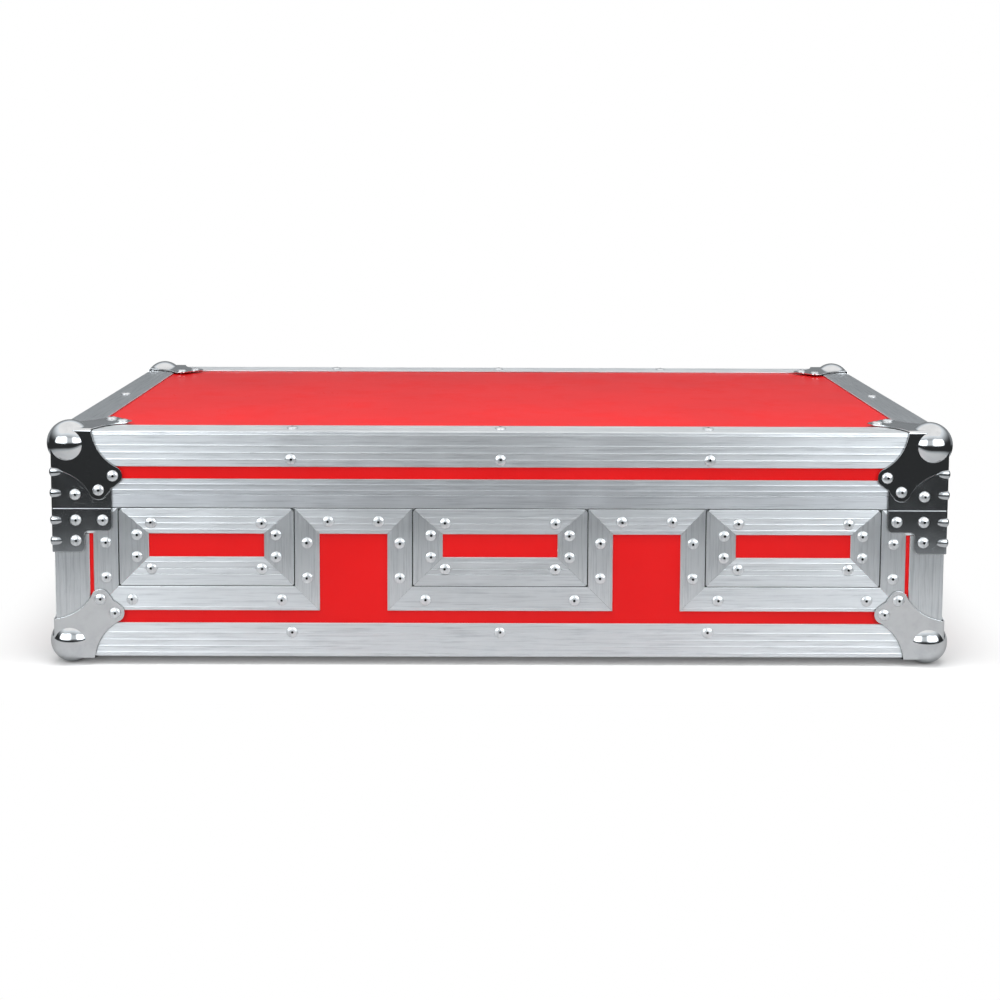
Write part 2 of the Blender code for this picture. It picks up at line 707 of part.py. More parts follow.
def latch_zone(side, end, half, low, high, shallow, deep):
    """Two opposite corners of a box behind the case side at one latch."""
    middle = end * LATCH_SPREAD
    return (
        (side * (HALF_WIDTH - shallow), middle - half, low),
        (side * (HALF_WIDTH - deep), middle + half, high),
    )


def latch_dish(side, end, label):
    """Pressed dish in the base, open upwards to the keeper, with the spindle's hole."""
    foot = SPINDLE_HEIGHT - PAN_HALF
    flange_half = PAN_HALF + SHEET + FLANGE
    flange_foot = foot - SHEET - FLANGE
    flange_back = FLANGE_INSET + SHEET
    name = f"latch_dish_{label}"
    zone = latch_zone(side, end, flange_half, flange_foot, BASE_TOP, FLANGE_INSET, flange_back)
    obj = box_piece(name, *zone, zinc)
    pan = latch_zone(
        side, end, PAN_HALF + SHEET, foot - SHEET, BASE_TOP, FLANGE_INSET + SHEET / 2, PAN_FLOOR + SHEET
    )
    void = latch_zone(side, end, PAN_HALF, foot, BASE_TOP + LEAF, -LEAF, PAN_FLOOR)
    boolean(obj, box_cutter(f"{name}_pan", [pan]), "UNION")
    boolean(obj, box_cutter(f"{name}_void", [void]), "DIFFERENCE")
    middle = end * LATCH_SPREAD
    bm = bmesh.new()
    add_round(
        bm,
        (side * (HALF_WIDTH - PAN_FLOOR + LEAF), middle, SPINDLE_HEIGHT),
        (side * (HALF_WIDTH - PAN_FLOOR - SHEET - LEAF), middle, SPINDLE_HEIGHT),
        SPINDLE_RADIUS + FIT,
    )
    boolean(obj, cutter(f"{name}_bore", bm), "DIFFERENCE")
    face = side * (HALF_WIDTH - FLANGE_INSET)
    column = flange_half - FLANGE / 2
    heights = (flange_foot + FLANGE / 2, SPINDLE_HEIGHT)
    places = [(face, middle + hand * column, z) for hand in (-1, 1) for z in heights]
    rivet_heads(obj, places, (side, 0, 0))
    return obj


def latch_keeper(side, end, label):
    """Pressed dish in the lid, open downwards, with the stud that the claw holds."""
    head = SPINDLE_HEIGHT + PAN_HALF
    flange_half = PAN_HALF + SHEET + FLANGE
    flange_head = head + SHEET + FLANGE
    flange_back = FLANGE_INSET + SHEET
    name = f"latch_keeper_{label}"
    zone = latch_zone(side, end, flange_half, LID_BOTTOM, flange_head, FLANGE_INSET, flange_back)
    obj = box_piece(name, *zone, zinc)
    pan = latch_zone(
        side, end, PAN_HALF + SHEET, LID_BOTTOM, head + SHEET, FLANGE_INSET + SHEET / 2, PAN_FLOOR + SHEET
    )
    void = latch_zone(side, end, PAN_HALF, LID_BOTTOM - LEAF, head, -LEAF, PAN_FLOOR)
    boolean(obj, box_cutter(f"{name}_pan", [pan]), "UNION")
    boolean(obj, box_cutter(f"{name}_void", [void]), "DIFFERENCE")
    middle = end * LATCH_SPREAD
    stud_height = SPINDLE_HEIGHT + STUD_RISE
    bm = bmesh.new()
    add_round(
        bm,
        (side * (HALF_WIDTH - HUB_INSET), middle, stud_height),
        (side * (HALF_WIDTH - PAN_FLOOR - SHEET / 2), middle, stud_height),
        STUD_RADIUS,
    )
    boolean(obj, cutter(f"{name}_stud", bm), "UNION")
    face = side * (HALF_WIDTH - FLANGE_INSET)
    column = flange_half - FLANGE / 2
    places = [(face, middle + hand * column, flange_head - FLANGE / 2) for hand in (-1, 1)]
    rivet_heads(obj, places, (side, 0, 0))
    return obj


def claw_mesh(side):
    """Spindle, claw and hinge pin, about the spindle's axis at the case's outer face."""
    bm = bmesh.new()
    finger = CLAW_REACH - FINGER_WIDTH
    outline = arc((0, 0), CLAW_REACH, -128, -62, 6)
    outline += arc((0, 0), finger, -62, -112, 5)
    outline += arc((0, 0), SPINDLE_RADIUS, -100, -140, 2)
    outline = [(0.0, y, z) for y, z in outline]
    near = -side * CLAW_INSET
    far = -side * (CLAW_INSET + CLAW_SHEET)
    add_prism(bm, outline, (near, 0, 0), (far, 0, 0))
    body = cutter("claw_body", bm)
    bm = bmesh.new()
    add_round(bm, (-side * HUB_INSET, 0, 0), (far, 0, 0), HUB_RADIUS)
    boolean(body, cutter("claw_hub", bm), "UNION")
    bm = bmesh.new()
    spindle_end = PAN_FLOOR + SHEET - FIT / 2
    add_round(bm, (near, 0, 0), (-side * spindle_end, 0, 0), SPINDLE_RADIUS)
    boolean(body, cutter("claw_spindle", bm), "UNION")
    boss_face = HINGE_INSET - WING_SHEET / 2
    bm = bmesh.new()
    add_box(
        bm,
        (-side * boss_face, -BOSS_HALF, -1.5 * HINGE_PIN_RADIUS),
        (near, BOSS_HALF, 1.5 * HINGE_PIN_RADIUS),
    )
    boolean(body, cutter("claw_boss", bm), "UNION")
    bm = bmesh.new()
    pin_x = -side * HINGE_INSET
    add_round(bm, (pin_x, -HINGE_PIN_HALF, 0), (pin_x, HINGE_PIN_HALF, 0), HINGE_PIN_RADIUS / 2 + FIT, 8)
    boolean(body, cutter("claw_pin", bm), "UNION")
    return finished_mesh(body, zinc)


def wing_mesh(side):
    """Folding wing about its hinge axis, hanging flat in the dish."""
    neck = 0.62 * WING_HALF_WIDTH
    head = WING_SHEET / 2 + FIT
    lobe = 0.3 * WING_DROP
    outline = arc((WING_HALF_WIDTH - lobe, lobe - WING_DROP), lobe, 0, -90, 4)
    outline += [(0.0, -0.86 * WING_DROP)]
    outline += arc((lobe - WING_HALF_WIDTH, lobe - WING_DROP), lobe, -90, -180, 4)
    outline += [(-neck, -0.3 * WING_DROP), (-neck, head), (neck, head), (neck, -0.3 * WING_DROP)]
    outline = [(0.0, y, z) for y, z in outline]
    bm = bmesh.new()
    half = side * WING_SHEET / 2
    add_prism(bm, outline, (half, 0, 0), (-half, 0, 0))
    body = cutter("wing_body", bm)
    notch = BOSS_HALF + FIT
    boolean(
        body,
        box_cutter(
            "wing_notch",
            [((-WING_SHEET, -notch, -0.2 * WING_DROP), (WING_SHEET, notch, 2 * head))],
        ),
        "DIFFERENCE",
    )
    bm = bmesh.new()
    pocket = HINGE_PIN_HALF + FIT
    add_round(bm, (0, -pocket, 0), (0, pocket, 0), HINGE_PIN_RADIUS / 2 + 2 * FIT, 8)
    boolean(body, cutter("wing_bore", bm), "DIFFERENCE")
    return finished_mesh(body, zinc)


def handle_dish(side, label):
    """Pressed dish for a carrying handle, with a hole for each end of the bail."""
    name = f"handle_dish_{label}"
    half_y = HANDLE_PAN_WIDTH / 2
    half_z = HANDLE_PAN_HEIGHT / 2
    flange_y = half_y + SHEET + FLANGE
    flange_z = half_z + SHEET + FLANGE
    floor = FLANGE_INSET + HANDLE_PAN_DEPTH

    def zone(grow_y, grow_z, shallow, deep):
        """Box behind the case side, centred on the handle."""
        return (
            (side * (HALF_WIDTH - shallow), -grow_y, HANDLE_HEIGHT - grow_z),
            (side * (HALF_WIDTH - deep), grow_y, HANDLE_HEIGHT + grow_z),
        )

    obj = box_piece(name, *zone(flange_y, flange_z, FLANGE_INSET, FLANGE_INSET + SHEET), zinc)
    pan = zone(half_y + SHEET, half_z + SHEET, FLANGE_INSET + SHEET / 2, floor + SHEET)
    boolean(obj, box_cutter(f"{name}_pan", [pan]), "UNION")
    boolean(obj, box_cutter(f"{name}_void", [zone(half_y, half_z, -LEAF, floor)]), "DIFFERENCE")
    x = side * (HALF_WIDTH - BAIL_INSET)
    end = half_y + SHEET + LEAF
    bm = bmesh.new()
    add_round(bm, (x, -end, BAIL_HEIGHT), (x, end, BAIL_HEIGHT), BAIL_RADIUS + FIT)
    boolean(obj, cutter(f"{name}_bore", bm), "DIFFERENCE")
    face = side * (HALF_WIDTH - FLANGE_INSET)
    places = []
    for hand_y in (-1, 1):
        for hand_z in (-1, 1):
            y = hand_y * (flange_y - FLANGE / 2)
            z = HANDLE_HEIGHT + hand_z * (flange_z - FLANGE / 2)
            places.append((face, y, z))
    rivet_heads(obj, places, (side, 0, 0))
    return obj


def bail_mesh():
    """Round bail with a moulded grip, hanging from its pivot axis at z = 0."""
    end = HANDLE_PAN_WIDTH / 2 + SHEET + FIT
    arm = HANDLE_PAN_WIDTH / 2 - 2 * BAIL_RADIUS
    bend = BAIL_BEND
    route = [(-end, 0.0)]
    route += arc((-arm - bend / 2, -bend / 2), bend / 2, 90, 0, 3)
    route += arc((-arm + bend, -BAIL_DROP + bend), bend, 180, 270, 4)
    route += [(-y, z) for y, z in reversed(route)]
    curve = bpy.data.curves.new("bail", "CURVE")
    curve.dimensions = "3D"
    curve.bevel_depth = BAIL_RADIUS
    curve.bevel_resolution = 2
    curve.use_fill_caps = True
    spline = curve.splines.new("POLY")
    spline.points.add(len(route) - 1)
    for point, (y, z) in zip(spline.points, route):
        point.co = (0.0, y, z, 1.0)
    rod = new_object("bail_curve", curve, cutters)
    bpy.context.view_layer.update()
    evaluated = rod.evaluated_get(bpy.context.evaluated_depsgraph_get())
    mesh = bpy.data.meshes.new_from_object(evaluated)
    bm = bmesh.new()
    bm.from_mesh(mesh)
    bmesh.ops.remove_doubles(bm, verts=bm.verts, dist=0.00005)
    bpy.data.objects.remove(rod)
    bpy.data.meshes.remove(mesh)
    body = cutter("bail_body", bm)
    bm = bmesh.new()
    half = GRIP_LENGTH / 2
    add_round(bm, (0, -half, -BAIL_DROP), (0, half, -BAIL_DROP), GRIP_RADIUS, 14)
    boolean(body, cutter("bail_grip", bm), "UNION")
    return finished_mesh(body, black_steel, smooth=True)


for leftover in list(bpy.data.objects):
    bpy.data.objects.remove(leftover)

case = new_collection("dj_player_case")
cutters = new_collection("cutters")

laminate = new_material("red_laminate", (0.72, 0.018, 0.016), 0.35)
aluminium = new_material("aluminium", (0.72, 0.74, 0.75), 0.32, 1.0)
chrome = new_material("chrome", (0.80, 0.81, 0.82), 0.08, 1.0)
steel = new_material("bright_steel", (0.62, 0.63, 0.64), 0.18, 1.0)
zinc = new_material("zinc", (0.66, 0.68, 0.70), 0.28, 1.0)
black_steel = new_material("black_rubber", (0.02, 0.02, 0.02), 0.5)
foam = new_material("grey_foam", (0.05, 0.05, 0.055), 0.95)

# Base: edge, panels, posts and rim
edge_ring("base_edge_ring", BASE_BOTTOM, 1, EDGE_LEG, 0.74 * EDGE_LEG)
bottom_panel = box_piece(
    "base_bottom_panel",
    (-HALF_WIDTH + PANEL_FACE, -HALF_DEPTH + PANEL_FACE, BASE_BOTTOM + PANEL_FACE),
    (HALF_WIDTH - PANEL_FACE, HALF_DEPTH - PANEL_FACE, BASE_BOTTOM + PANEL_BACK),
    laminate,
)
boolean(bottom_panel, corner_trim("base_bottom_trim", BASE_BOTTOM, 1), "DIFFERENCE")

end_half = HALF_WIDTH - INNER_FACE - FIT
front_panel = box_piece(
    "base_front_panel",
    (-end_half, -HALF_DEPTH + PANEL_FACE, WALL_BOTTOM),
    (end_half, -HALF_DEPTH + PANEL_BACK, WALL_TOP),
    laminate,
)
front_cut = front_openings("front_cut", -HALF_DEPTH, -HALF_DEPTH + INNER_FACE, LEAF + FIT)
boolean(front_panel, front_cut, "DIFFERENCE")
box_piece(
    "base_rear_panel",
    (-end_half, HALF_DEPTH - PANEL_FACE, WALL_BOTTOM),
    (end_half, HALF_DEPTH - PANEL_BACK, WALL_TOP),
    laminate,
)

for side, side_label in SIDES:
    for end, end_label in ENDS:
        corner_post(f"corner_post_{end_label}_{side_label}", side, end)

base_rim = base_rim_piece()

# Lid: edge, top, walls and rim
edge_ring("lid_edge_ring", LID_TOP, -1, LID_EDGE_LEG, 0.79 * LID_EDGE_LEG)
top_panel = box_piece(
    "lid_top_panel",
    (-HALF_WIDTH + PANEL_FACE, -HALF_DEPTH + PANEL_FACE, LID_TOP - PANEL_FACE),
    (HALF_WIDTH - PANEL_FACE, HALF_DEPTH - PANEL_FACE, LID_TOP - PANEL_BACK),
    laminate,
)
boolean(top_panel, corner_trim("lid_top_trim", LID_TOP, -1), "DIFFERENCE")
wall_head = LID_TOP - INNER_FACE - FIT
wall_foot = LID_BOTTOM + GROOVE_ROOT + FIT
wall_section = [
    (PANEL_FACE, wall_foot - LID_BOTTOM),
    (PANEL_FACE, wall_head - LID_BOTTOM),
    (PANEL_BACK, wall_head - LID_BOTTOM),
    (PANEL_BACK, wall_foot - LID_BOTTOM),
]
lid_wall = case_ring("lid_wall", LID_BOTTOM, 1, wall_section, laminate)
lid_rim = case_ring(
    "lid_rim", LID_BOTTOM, 1, rim_section(LID_RIM_LEAF, LID_RIM_REEDS, True), aluminium
)

# Front doors
for door_label, door_centre in zip(("left", "centre", "right"), DOOR_CENTRES):
    door_pieces(door_label, door_centre)

# Ball corners and braces
ball_mesh = ball_corner_mesh()
base_brace = brace_mesh(False)
lid_brace = brace_mesh(True)
for (side, end), quarter_turns in (((-1, -1), 0), ((1, -1), 1), ((1, 1), 2), ((-1, 1), 3)):
    side_label = "left" if side < 0 else "right"
    end_label = "front" if end < 0 else "rear"
    turn = quarter_turns * QUARTER
    place = (side * HALF_WIDTH, end * HALF_DEPTH)
    ball = new_object(f"ball_corner_lower_{end_label}_{side_label}", ball_mesh, case)
    ball.location = (*place, BASE_BOTTOM)
    ball.rotation_euler = (0.0, 0.0, turn)
    ball = new_object(f"ball_corner_upper_{end_label}_{side_label}", ball_mesh, case)
    ball.location = (*place, LID_TOP)
    ball.rotation_euler = (math.pi, 0.0, turn + QUARTER)
    brace = new_object(f"base_brace_{end_label}_{side_label}", base_brace, case)
    brace.location = (*place, BASE_TOP)
    brace.rotation_euler = (0.0, 0.0, turn)
    brace = new_object(f"lid_brace_{end_label}_{side_label}", lid_brace, case)
    brace.location = (*place, LID_BOTTOM)
    brace.rotation_euler = (0.0, 0.0, turn)

# Side panels, latches and handles
flange_reach = PAN_HALF + SHEET + FLANGE + FIT
pan_reach = PAN_HALF + SHEET + FIT
bail = bail_mesh()
for side, side_label in SIDES:
    claw = claw_mesh(side)
    wing = wing_mesh(side)
    notches = []
    rim_notches = []
    keeper_notches = []
    keeper_rim_notches = []
    for end, end_label in ENDS:
        label = f"{end_label}_{side_label}"
        latch_dish(side, end, label)
        latch_keeper(side, end, label)
        axis = Vector((side * HALF_WIDTH, end * LATCH_SPREAD, SPINDLE_HEIGHT))
        new_object(f"latch_claw_{label}", claw, case).location = axis
        hinge = axis - Vector((side * HINGE_INSET, 0, 0))
        new_object(f"latch_wing_{label}", wing, case).location = hinge
        low = SPINDLE_HEIGHT - pan_reach
        high = SPINDLE_HEIGHT + pan_reach
        notches.append(latch_zone(side, end, pan_reach, low, BASE_TOP, 0.0, SHELF))
        keeper_notches.append(latch_zone(side, end, pan_reach, LID_BOTTOM, high, 0.0, SHELF))
        low = BASE_TOP - RIM_LEAF - LEAF
        high = BASE_TOP + TONGUE_HEIGHT + LEAF
        rim_notches.append(latch_zone(side, end, flange_reach, low, high, -LEAF, SHELF - FIT))
        low = LID_BOTTOM - LEAF
        high = LID_BOTTOM + LID_RIM_LEAF + LEAF
        zone = latch_zone(side, end, flange_reach, low, high, -LEAF, SHELF - FIT)
        keeper_rim_notches.append(zone)
    panel = box_piece(
        f"base_{side_label}_panel",
        (side * (HALF_WIDTH - PANEL_FACE), -HALF_DEPTH + PANEL_FACE, WALL_BOTTOM),
        (side * (HALF_WIDTH - PANEL_BACK), HALF_DEPTH - PANEL_FACE, WALL_TOP),
        laminate,
    )
    boolean(panel, box_cutter(f"{side_label}_latch_notches", notches), "DIFFERENCE")
    boolean(base_rim, box_cutter(f"{side_label}_rim_notches", rim_notches), "DIFFERENCE")
    boolean(lid_wall, box_cutter(f"{side_label}_keeper_notches", keeper_notches), "DIFFERENCE")
    tool = box_cutter(f"{side_label}_keeper_rim_notches", keeper_rim_notches)
    boolean(lid_rim, tool, "DIFFERENCE")

    handle_dish(side, side_label)
    pivot = (side * (HALF_WIDTH - BAIL_INSET), 0.0, BAIL_HEIGHT)
    new_object(f"handle_bail_{side_label}", bail, case).location = pivot
    reach_y = HANDLE_PAN_WIDTH / 2 + SHEET + 3 * FIT
    reach_z = HANDLE_PAN_HEIGHT / 2 + SHEET + FIT
    handle_cut = (
        (side * HALF_WIDTH, -reach_y, HANDLE_HEIGHT - reach_z),
        (side * (HALF_WIDTH - INNER_FACE), reach_y, HANDLE_HEIGHT + reach_z),
    )
    boolean(panel, box_cutter(f"{side_label}_handle_cut", [handle_cut]), "DIFFERENCE")

# Foam liner with three bays, and the slab under the lid
liner_x = HALF_WIDTH - INNER_FACE - FIT
liner_y = HALF_DEPTH - INNER_FACE - FIT
liner_foot = BASE_BOTTOM + PANEL_BACK + FIT
liner_top = BASE_TOP - FOAM_SETBACK
liner = box_piece(
    "bay_foam", (-liner_x, -liner_y, liner_foot), (liner_x, liner_y, liner_top), foam
)
bay_width = (2 * liner_x - 2 * FOAM_SIDE - 2 * FOAM_DIVIDER) / 3
bays = []
for number in (-1, 0, 1):
    middle = number * (bay_width + FOAM_DIVIDER)
    low = (middle - bay_width / 2, -liner_y + FOAM_FRONT, liner_foot + FOAM_FLOOR)
    bays.append((low, (middle + bay_width / 2, liner_y - FOAM_REAR, BASE_TOP)))
boolean(liner, box_cutter("bays", bays), "DIFFERENCE")
front_foam = front_openings(
    "foam_front_cut", -HALF_DEPTH, -liner_y + FOAM_FRONT + LEAF, -DOOR_SIDE_GAP
)
boolean(liner, front_foam, "DIFFERENCE")
pan_back = FLANGE_INSET + HANDLE_PAN_DEPTH + SHEET + FIT
reliefs = []
for side, _ in SIDES:
    reach_y = HANDLE_PAN_WIDTH / 2 + SHEET + 3 * FIT
    reach_z = HANDLE_PAN_HEIGHT / 2 + SHEET + FIT
    near = (side * HALF_WIDTH, -reach_y, HANDLE_HEIGHT - reach_z)
    reliefs.append((near, (side * (HALF_WIDTH - pan_back), reach_y, HANDLE_HEIGHT + reach_z)))
boolean(liner, box_cutter("foam_reliefs", reliefs), "DIFFERENCE")
box_piece(
    "lid_foam",
    (-liner_x, -liner_y, LID_TOP - PANEL_BACK - FIT - LID_FOAM),
    (liner_x, liner_y, LID_TOP - PANEL_BACK - FIT),
    foam,
)
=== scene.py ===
import math

import bmesh
import bpy
from bmesh.types import BMEdge, BMFace, BMVert
from mathutils import Matrix, Vector


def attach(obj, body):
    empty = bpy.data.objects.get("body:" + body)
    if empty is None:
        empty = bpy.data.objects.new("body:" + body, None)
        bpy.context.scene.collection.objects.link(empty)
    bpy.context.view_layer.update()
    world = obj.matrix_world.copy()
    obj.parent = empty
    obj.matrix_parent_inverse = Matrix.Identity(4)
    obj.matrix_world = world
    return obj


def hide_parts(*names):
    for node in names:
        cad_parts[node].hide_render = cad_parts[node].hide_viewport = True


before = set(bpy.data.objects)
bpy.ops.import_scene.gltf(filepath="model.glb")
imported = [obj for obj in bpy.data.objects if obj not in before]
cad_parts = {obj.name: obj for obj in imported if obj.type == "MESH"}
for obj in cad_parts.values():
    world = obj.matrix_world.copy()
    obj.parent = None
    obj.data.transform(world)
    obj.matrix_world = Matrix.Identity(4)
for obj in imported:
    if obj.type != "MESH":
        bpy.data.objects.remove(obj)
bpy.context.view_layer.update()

# The camera stands before the case, a little above it and just left of the middle.
# Its lens is shifted, so that the upright edges of the case stay upright in the picture.
CAMERA_PLACE = (-0.00855, -1.5403, 0.4329)
CAMERA_YAW, CAMERA_PITCH, CAMERA_ROLL = (math.radians(turn) for turn in (-0.325, 5.155, 0.237))
LENS_LENGTH, SENSOR_WIDTH, LENS_SHIFT = 57.02, 36.0, -0.1963


def place_in_scene(name, data):
    """Object linked into the scene."""
    obj = bpy.data.objects.new(name, data)
    bpy.context.scene.collection.objects.link(obj)
    return obj


lens = bpy.data.cameras.new("camera")
lens.lens, lens.sensor_width, lens.shift_y = LENS_LENGTH, SENSOR_WIDTH, LENS_SHIFT
camera = place_in_scene("camera", lens)
camera.matrix_world = (
    Matrix.Translation(CAMERA_PLACE)
    @ Matrix.Rotation(CAMERA_YAW, 4, "Z")
    @ Matrix.Rotation(math.pi / 2 - CAMERA_PITCH, 4, "X")
    @ Matrix.Rotation(CAMERA_ROLL, 4, "Z")
)
bpy.context.scene.camera = camera
bpy.context.scene.view_settings.view_transform = "Standard"


# Studio: a pale floor, a white surround, two tall soft lights in front and one overhead.
# Grey cards stand round the case, out of the camera's sight, for the bright metal to mirror: bright
# low down at both ends of the front, dark between them, paler behind. The lights don't show in it.
HALF_WIDTH, HALF_DEPTH = 0.381, 0.210
WHITE = (1.0, 1.0, 1.0, 1.0)
FLOOR_HALF = 6.0
FLOOR_COLOUR = (0.86, 0.86, 0.86, 1.0)
FLOOR_REFLECTED = (0.42, 0.43, 0.44, 1.0)
FLOOR_BLEND = (-0.02, 0.10)
CARD_COLOUR = (0.90, 0.955, 1.0, 1.0)
CARD_START, CARD_SPREAD, CARD_HEIGHT, CARD_LIFT = 0.27, 2.4 / 0.66, 2.3, 0.002
CARD_DARK, CARD_SHARE = 0.03, 0.13
# Each ramp of the cards' grey is the two places between which it changes, and its value at each.
CARD_NEAR = (CARD_START, 0.52, 0.46, CARD_DARK)
CARD_HIGH = (0.35, CARD_HEIGHT, 0.0, 0.90 - CARD_DARK)
CARD_BEHIND = (0.3, 1.4, 0.0, 0.23)
CARD_ASIDE = (0.25, 0.9, CARD_SHARE, 1.0)
CARD_RAISED = (0.15, 0.45, 0.0, 4.6)
CARD_LOWERED = (0.90, 1.50, 1.0, CARD_SHARE)
CARD_BEFORE = (1.0, 1.6, 0.0, 1.0)
SURROUND_LIGHT, SURROUND_REFLECTED = 0.34, 0.90
LIGHTS = (
    ("light_left", (-0.85, -1.50, 0.95), (-0.25, 0.0, 0.12), 0.9, 1.2, 10.6),
    ("light_right", (0.85, -1.50, 0.95), (0.25, 0.0, 0.12), 0.9, 1.2, 10.6),
    ("light_overhead", (0.0, -0.40, 1.00), (0.0, -0.15, 0.20), 1.4, 0.4, 9.5),
)


def add_node(kind, inputs, tree=None, **settings):
    """Outputs of a new node, put in a tree or beside the nodes that feed it."""
    fed = {key: value for key, value in inputs.items() if isinstance(value, bpy.types.NodeSocket)}
    if tree is None:
        tree = next(iter(fed.values())).id_data
    node = tree.nodes.new("ShaderNode" + kind)
    for name, value in settings.items():
        setattr(node, name, value)
    for key, value in inputs.items():
        if key in fed:
            tree.links.new(value, node.inputs[key])
        else:
            node.inputs[key].default_value = value
    return node.outputs


def calculate(operation, value, *others):
    """Result of a sum over several values."""
    for other in others or (0.0,):
        value = add_node("Math", {0: value, 1: other}, operation=operation)[0]
    return value


def scaled(value, factor, plus=0.0):
    """Value times a factor, and more added."""
    return add_node("Math", {0: value, 1: factor, 2: plus}, operation="MULTIPLY_ADD")[0]


def vectors(operation, first, second=(0.0, 0.0, 0.0)):
    """Result of a sum on two vectors."""
    return add_node("VectorMath", {0: first, 1: second}, operation=operation)[0]


def spread(value, low, high, start=0.0, end=1.0):
    """Value carried from one range to another, and held at its ends."""
    inputs = {0: value, 1: low, 2: high, 3: start, 4: end}
    return add_node("MapRange", inputs, interpolation_type="SMOOTHSTEP")[0]


def mix_colour(factor, first, second):
    """Mix of two colours."""
    return add_node("Mix", {0: factor, 6: first, 7: second}, data_type="RGBA")[2]


def past_case(place):
    """Distance along the floor from the foot of the case."""
    past = vectors("SUBTRACT", vectors("ABSOLUTE", place), (HALF_WIDTH, HALF_DEPTH, FLOOR_HALF))
    return add_node("VectorMath", {0: vectors("MAXIMUM", past)}, operation="LENGTH")["Value"]


def as_mesh(name, bm):
    """Mesh of a finished shape."""
    mesh = bpy.data.meshes.new(name)
    bm.to_mesh(mesh)
    bm.free()
    return mesh


def as_shape(mesh):
    """Copy of a mesh to work on."""
    bm = bmesh.new()
    bm.from_mesh(mesh)
    return bm


def only(kind, made):
    """Items of one kind."""
    return [item for item in made if isinstance(item, kind)]


def flat_sheet(half_x, half_y):
    """One flat face about the origin."""
    bm = bmesh.new()
    bmesh.ops.create_grid(bm, x_segments=1, y_segments=1, size=1.0)
    bmesh.ops.scale(bm, vec=(half_x, half_y, 1.0), verts=bm.verts)
    return bm


def rounded(bm, items, width, segments, kind="EDGES", clamp=False):
    """Round off edges, or the corners of a flat face."""
    bmesh.ops.bevel(
        bm, geom=items, offset=width, segments=segments, profile=0.5, affect=kind, material=-1,
        clamp_overlap=clamp,
    )


def empty_tree(owner):
    """Emptied shader tree."""
    owner.use_nodes = True
    owner.node_tree.nodes.clear()
    return owner.node_tree


def stage_piece(name, bm):
    """Part of the studio, with an empty shader tree."""
    obj = place_in_scene(name, as_mesh(name, bm))
    material = bpy.data.materials.new(name)
    obj.data.materials.append(material)
    return obj, empty_tree(material)


def hide_from(obj, *rays):
    """Hide an object from some rays."""
    for ray in rays:
        setattr(obj, f"visible_{ray}", False)


floor, tree = stage_piece("floor", flat_sheet(FLOOR_HALF, FLOOR_HALF))
place = add_node("NewGeometry", {}, tree)["Position"]
rays = add_node("LightPath", {}, tree)
tint = mix_colour(rays["Is Camera Ray"], FLOOR_REFLECTED, FLOOR_COLOUR)
matt = add_node("BsdfDiffuse", {"Color": tint})[0]
white = add_node("Emission", {"Color": WHITE}, tree)[0]
share = calculate("MULTIPLY", spread(past_case(place), *FLOOR_BLEND), rays["Is Camera Ray"])
add_node("OutputMaterial", {"Surface": add_node("MixShader", {0: share, 1: matt, 2: white})[0]})

bm = flat_sheet(HALF_WIDTH + CARD_START, HALF_DEPTH + CARD_START)
rounded(bm, bm.verts[:], CARD_START, 8, "VERTICES")
inner = [edge for edge in bm.edges if edge.is_boundary]
bmesh.ops.delete(bm, geom=bm.faces[:], context="FACES_ONLY")
outer = only(BMVert, bmesh.ops.extrude_edge_only(bm, edges=inner)["geom"])
bmesh.ops.scale(bm, vec=(CARD_SPREAD, CARD_SPREAD, 1.0), verts=outer)
rim = [edge for edge in bm.edges if edge.is_boundary and all(v in outer for v in edge.verts)]
raised = only(BMVert, bmesh.ops.extrude_edge_only(bm, edges=rim)["geom"])
bmesh.ops.translate(bm, vec=(0, 0, CARD_HEIGHT), verts=raised)
bmesh.ops.translate(bm, vec=(0, 0, CARD_LIFT), verts=bm.verts)
cards, tree = stage_piece("cards", bm)
hide_from(cards, "camera", "diffuse", "shadow", "transmission")
place = add_node("NewGeometry", {}, tree)["Position"]
along, back, height = add_node("SeparateXYZ", {0: place})
column = calculate(
    "MULTIPLY",
    spread(calculate("ABSOLUTE", along), *CARD_ASIDE),
    spread(height, *CARD_RAISED),
    spread(calculate("MULTIPLY", back, -1.0), *CARD_BEFORE),
    spread(height, *CARD_LOWERED),
)
grey = calculate("MAXIMUM", spread(height, *CARD_HIGH), spread(back, *CARD_BEHIND), column)
level = calculate("ADD", grey, spread(past_case(place), *CARD_NEAR))
glow = add_node("Emission", {"Color": CARD_COLOUR, "Strength": level})[0]
add_node("OutputMaterial", {"Surface": glow})

world = bpy.data.worlds.new("surround")
bpy.context.scene.world = world
rays = add_node("LightPath", {}, empty_tree(world))
shown = calculate("MAXIMUM", rays["Is Camera Ray"], rays["Is Transmission Ray"])
reflected = calculate("MULTIPLY", rays["Is Glossy Ray"], SURROUND_REFLECTED)
level = calculate("MAXIMUM", shown, reflected, SURROUND_LIGHT)
light = add_node("Background", {"Color": WHITE, "Strength": level})[0]
add_node("OutputWorld", {"Surface": light})

for name, place, target, width, height, power in LIGHTS:
    data = bpy.data.lights.new(name, "AREA")
    data.shape = "RECTANGLE"
    data.size, data.size_y, data.energy = width, height, power
    light = place_in_scene(name, data)
    turn = (Vector(target) - Vector(place)).to_track_quat("-Z", "Y").to_matrix().to_4x4()
    light.matrix_world = Matrix.Translation(place) @ turn
    hide_from(light, "camera", "glossy")


